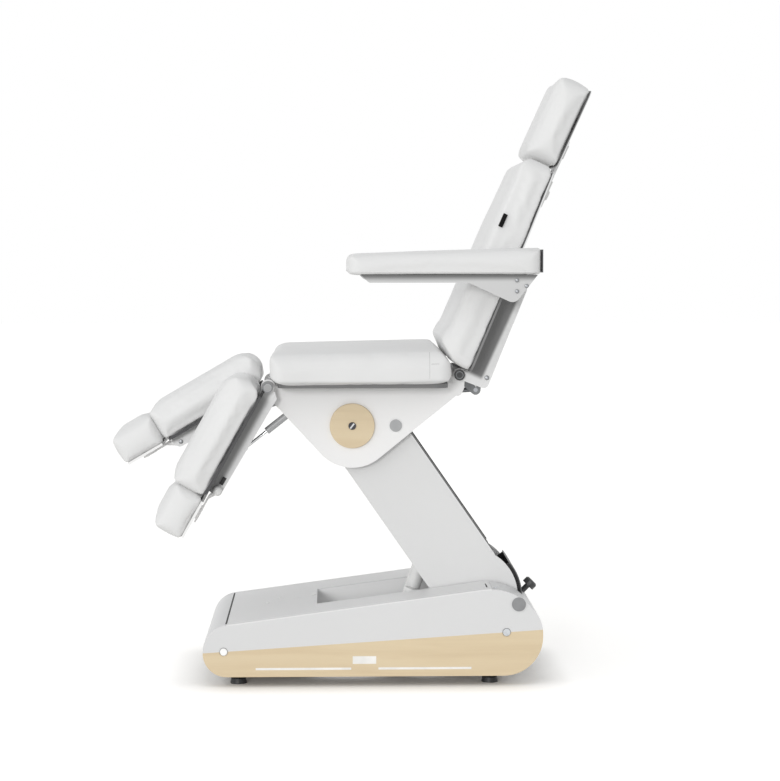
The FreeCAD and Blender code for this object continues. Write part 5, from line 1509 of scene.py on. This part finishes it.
@dataclass(frozen=True)
class DiscScrew:
    """The slotted screw in the middle of a wooden disc."""

    shop: Workshop
    profile: Profile = ((10.5, 0.0), (10.5, 2.7), (9.6, 3.4), (0.05, 3.5))
    slot_angle: float = 52.0
    slot_half_length: float = 8.6
    slot_half_width: float = 2.0
    slot_rise: float = 3.0
    slot_height: float = 1.0

    def build(self, side: Side) -> None:
        """Makes the screw of one side.

        Args:
            side: the chair's side.
        """
        low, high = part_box("wood_discs")
        middle = (low + high) / 2.0
        centre = Vector((middle.x, side.sign * high.y, middle.z))
        Turned("disc_screw_" + side.value, "seat", centre, side.outward, self.profile,
               "blued_steel").build(self.shop)
        slanted = LocalFrame(middle.x / MILLIMETRE + DRAWING_SHIFT, middle.z / MILLIMETRE, self.slot_angle)
        face = side.sign * (high.y / MILLIMETRE + self.slot_rise)
        top = face + side.sign * self.slot_height
        sheet = bmesh.new()
        add_box(sheet, slanted, (-self.slot_half_length, face, -self.slot_half_width),
                (self.slot_half_length, top, self.slot_half_width))
        name = "disc_slot_" + side.value
        set_down(name, meshed(sheet, name, self.shop.pick("polished_steel")), "seat")


@dataclass(frozen=True)
class ScrewRings:
    """The dark washers that show round the side screws of the base, along the panel's slanted edge."""

    shop: Workshop
    edge_front: Pair = (-390.0, 92.9)
    edge_rear: Pair = (538.0, 153.2)
    stations: Pair = (-333.0, 438.0)
    y: float = 278.6
    profile: Profile = ((11.2, 0.0), (11.2, 0.5), (10.3, 0.9), (10.0, 0.4))

    def build(self, side: Side) -> None:
        """Makes the rings of one side.

        Args:
            side: the chair's side.
        """
        front, low = self.edge_front
        rear, high = self.edge_rear
        for index, x in enumerate(self.stations):
            height = low + (high - low) * (x - front) / (rear - front)
            centre = DRAWING.out(x, side.sign * self.y, height)
            Turned("base_screw_ring_%s_%d" % (side.value, index), "base", centre, side.outward, self.profile,
                   "gunmetal").build(self.shop)


@dataclass(frozen=True)
class FrontSeal:
    """The dark seal between the front cover and the top panel."""

    shop: Workshop
    corner: Pair = (-326.6, 169.9)
    rise: float = 112.0
    run: float = 837.7
    margin: float = 19.0
    half_width: float = 2.2
    low: float = -2.0
    high: float = 0.5

    def build(self) -> None:
        """Makes the seal."""
        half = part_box("top_panel")[1].y / MILLIMETRE - self.margin
        line = LocalFrame(*self.corner, math.degrees(math.atan2(self.rise, self.run)))
        sheet = bmesh.new()
        add_box(sheet, line, (-self.half_width, -half, self.low), (self.half_width, half, self.high))
        set_down("front_seal", meshed(sheet, "front_seal", self.shop.pick("rubber")), "base")


@dataclass(frozen=True)
class Inlays:
    """The two pale strips and the bare plate let into each wooden panel, whose old grooves are filled."""

    shop: Workshop
    front_strip: Pair = (-246.0, 14.0)
    rear_strip: Pair = (88.0, 342.0)
    strip_rise: Pair = (46.0, 52.0)
    plate: Pair = (18.0, 82.0)
    plate_rise: Pair = (62.0, 83.0)
    groove_depth: float = 1.6
    proud: float = 0.3
    depth: float = 2.0

    def build(self) -> None:
        """Makes the inlays of both sides."""
        sheet = bmesh.new()
        sheet.from_mesh(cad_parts["panel_strips"].data)
        face = max(abs(corner.co.y) for corner in sheet.verts)
        for corner in sheet.verts:
            if face - abs(corner.co.y) < self.groove_depth * MILLIMETRE:
                corner.co.y = math.copysign(face, corner.co.y)
        for side in Side:
            outer = side.sign * (face / MILLIMETRE + self.proud)
            inner = outer - side.sign * self.depth
            for (left, right), (low, high) in ((self.front_strip, self.strip_rise),
                                               (self.rear_strip, self.strip_rise),
                                               (self.plate, self.plate_rise)):
                for item in add_box(sheet, DRAWING, (left, inner, low), (right, outer, high)):
                    item.material_index = 1
        mesh = meshed(sheet, "panel_inlays", self.shop.pick("maple", "ivory"))
        set_down("panel_inlays", mesh, "base", "panel_strips")


@dataclass(frozen=True)
class Hood:
    """The curved cover behind the arm's foot, with its dark side walls."""

    shop: Workshop
    pivot: LocalFrame = LocalFrame(LIFT_ARM.x, LIFT_ARM.z, 0.0)
    inner: float = 140.0
    wall: float = 3.0
    half_width: float = 128.0
    cheek_y: float = 108.0
    cheek_wall: float = 3.0
    cheek_inner: float = 98.0
    cheek_bite: float = 1.0
    low_angle: float = -5.0
    high_angle: float = 40.0
    steps: int = 20

    def build(self) -> None:
        """Makes the hood."""
        sheet = bmesh.new()
        self.sector(sheet, (self.inner, self.inner + self.wall), (-self.half_width, self.half_width), 0)
        for side in Side:
            near = side.sign * self.cheek_y
            self.sector(sheet, (self.cheek_inner, self.inner + self.cheek_bite),
                        (near, near + side.sign * self.cheek_wall), 1)
        bmesh.ops.recalc_face_normals(sheet, faces=sheet.faces)
        mesh = meshed(sheet, "hood_shell", self.shop.pick("hood_plastic", "dark_plastic"))
        set_down("hood_shell", mesh, "base", "rear_hood")

    def sector(self, sheet: bmesh.types.BMesh, radii: Pair, ends: Pair, slot: int) -> None:
        """Adds a part of a ring.

        Args:
            sheet: the sheet.
            radii: inner and outer radius in millimetres.
            ends: where it starts and ends across the chair.
            slot: the material slot.
        """
        spots = ((radii[0], ends[0]), (radii[1], ends[0]), (radii[1], ends[1]), (radii[0], ends[1]))
        rings = []
        for step in range(self.steps + 1):
            angle = math.radians(self.low_angle + (self.high_angle - self.low_angle) * step / self.steps)
            along, across = math.cos(angle), math.sin(angle)
            rings.append([sheet.verts.new(self.pivot.out(radius * along, y, radius * across))
                          for radius, y in spots])
        for face in bridge(sheet, rings):
            face.material_index = slot


@dataclass(frozen=True)
class Hardware:
    """Screw heads, caps, seals and covers that are finer than the CAD pieces they sit on."""

    shop: Workshop

    def build(self) -> None:
        """Makes all of it."""
        for side in Side:
            for group in (Screws, HingeEnds, LegBall, FootBars, DiscScrew, ScrewRings):
                group(self.shop).build(side)
        for group in (PaintShop, FrontSeal, Inlays, Hood):
            group(self.shop).build()


@dataclass(frozen=True)
class Lamp:
    """One broad, soft sun."""

    name: str
    strength: float
    angle: float
    direction: Triple

    def build(self) -> None:
        """Hangs the lamp."""
        light = bpy.data.lights.new(self.name, "SUN")
        light.energy = self.strength
        light.angle = math.radians(self.angle)
        lamp = bpy.data.objects.new(self.name, light)
        lamp.rotation_euler = (-Vector(self.direction)).to_track_quat("-Z", "Y").to_euler()
        bpy.context.scene.collection.objects.link(lamp)


@dataclass
class Studio:
    """Floor, lights and camera."""

    camera_place: Triple = (-0.051, -5.89, 1.171)
    lens: float = 95.93
    yaw: float = -1.66
    pitch: float = -3.70
    far_end: float = 100.0
    key: Lamp = Lamp("key", 0.78, 12.0, (-0.271, -0.947, 0.174))
    fill: Lamp = Lamp("fill", 0.60, 60.0, (-0.75, -0.55, 0.38))
    world_colour: Colour = (0.985, 0.992, 1.0)
    world_strength: float = 0.64
    floor_size: float = 60.0
    floor_colour: Colour = (0.93, 0.925, 0.91)
    floor_glow: float = 0.40
    # The contact values shape the floor's painted contact shadow.
    contact_reach: float = 0.14
    contact_samples: int = 24
    contact_near: tuple[float, Colour] = (0.50, (0.12, 0.10, 0.08))
    contact_far: tuple[float, Colour] = (0.96, (1.0, 0.99, 0.98))

    def build(self) -> None:
        """Sets up the studio."""
        bpy.context.scene.view_settings.view_transform = "Standard"
        self.world()
        self.floor()
        self.key.build()
        self.fill.build()
        self.camera()

    def world(self) -> None:
        """Plain white surroundings, dimmer as light than as a backdrop."""
        world = bpy.data.worlds.new("studio")
        bpy.context.scene.world = world
        world.use_nodes = True
        tree = world.node_tree
        backdrop = tree.nodes["Background"]
        backdrop.inputs["Color"].default_value = (1.0, 1.0, 1.0, 1.0)
        backdrop.inputs["Strength"].default_value = 1.0
        ambient = tree.nodes.new("ShaderNodeBackground")
        ambient.inputs["Color"].default_value = (*self.world_colour, 1.0)
        ambient.inputs["Strength"].default_value = self.world_strength
        mix = tree.nodes.new("ShaderNodeMixShader")
        tree.links.new(self.seen(tree), mix.inputs["Fac"])
        tree.links.new(ambient.outputs["Background"], mix.inputs[1])
        tree.links.new(backdrop.outputs["Background"], mix.inputs[2])
        tree.links.new(mix.outputs["Shader"], tree.nodes["World Output"].inputs["Surface"])

    def floor(self) -> None:
        """A white floor that reflects light and shows its own shadow, with a soft painted contact shadow in
        its glow.
        """
        half = self.floor_size / 2.0
        mesh = bpy.data.meshes.new("floor")
        corners = [(-half, -half, 0.0), (half, -half, 0.0), (half, half, 0.0), (-half, half, 0.0)]
        mesh.from_pydata(corners, [], [(0, 1, 2, 3)])
        floor = bpy.data.objects.new("floor", mesh)
        bpy.context.scene.collection.objects.link(floor)
        mesh.materials.append(self.floor_paper())

    def floor_paper(self) -> bpy.types.Material:
        """Makes the floor's paper, which the camera sees lighter than it reflects.

        Returns:
            The material.
        """
        material = bpy.data.materials.new("floor_paper")
        material.use_nodes = True
        tree = material.node_tree
        tree.nodes.remove(tree.nodes["Principled BSDF"])
        paper = tree.nodes.new("ShaderNodeBsdfDiffuse")
        paper.inputs["Color"].default_value = (*self.floor_colour, 1.0)
        # Painted shadow: ambient occlusion darkens the glow that the camera sees near the chair.
        near = tree.nodes.new("ShaderNodeAmbientOcclusion")
        near.inputs["Distance"].default_value = self.contact_reach
        near.samples = self.contact_samples
        contact = tree.nodes.new("ShaderNodeValToRGB")
        stops = (self.contact_near, self.contact_far)
        for stop, (position, colour) in zip(contact.color_ramp.elements, stops):
            stop.position = position
            stop.color = (*colour, 1.0)
        tree.links.new(near.outputs["AO"], contact.inputs["Fac"])
        glow = tree.nodes.new("ShaderNodeEmission")
        glow.inputs["Strength"].default_value = self.floor_glow
        tree.links.new(contact.outputs["Color"], glow.inputs["Color"])
        none = tree.nodes.new("ShaderNodeEmission")
        none.inputs["Strength"].default_value = 0.0
        shown = tree.nodes.new("ShaderNodeMixShader")
        tree.links.new(self.seen(tree), shown.inputs["Fac"])
        tree.links.new(none.outputs["Emission"], shown.inputs[1])
        tree.links.new(glow.outputs["Emission"], shown.inputs[2])
        both = tree.nodes.new("ShaderNodeAddShader")
        tree.links.new(paper.outputs["BSDF"], both.inputs[0])
        tree.links.new(shown.outputs["Shader"], both.inputs[1])
        tree.links.new(both.outputs["Shader"], tree.nodes["Material Output"].inputs["Surface"])
        return material

    @staticmethod
    def seen(tree: bpy.types.NodeTree) -> Socket:
        """Returns 1 for what the camera sees, straight, in a mirror or through glass.

        Args:
            tree: the tree that takes the nodes.

        Returns:
            The value output.
        """
        path = tree.nodes.new("ShaderNodeLightPath")
        seen = path.outputs["Is Camera Ray"]
        for kind in ("Is Glossy Ray", "Is Transmission Ray"):
            either = tree.nodes.new("ShaderNodeMath")
            either.operation = "MAXIMUM"
            tree.links.new(seen, either.inputs[0])
            tree.links.new(path.outputs[kind], either.inputs[1])
            seen = either.outputs["Value"]
        return seen

    def camera(self) -> None:
        """The photograph's viewpoint."""
        data = bpy.data.cameras.new("camera")
        data.lens = self.lens
        data.clip_end = self.far_end
        camera = bpy.data.objects.new("camera", data)
        camera.location = self.camera_place
        turn = Euler((math.radians(90.0 + self.pitch), 0.0, math.radians(self.yaw)), "XYZ")
        camera.rotation_euler = turn
        bpy.context.scene.collection.objects.link(camera)
        bpy.context.scene.camera = camera


def main() -> None:
    """Builds the whole scene.
    """
    logging.basicConfig(level=logging.INFO, format="%(name)s: %(message)s")
    shop = Workshop()
    Structure(shop).build()
    Hardware(shop).build()
    Upholstery(shop).build()
    Studio().build()


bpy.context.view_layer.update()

if __name__ == "__main__":
    main()
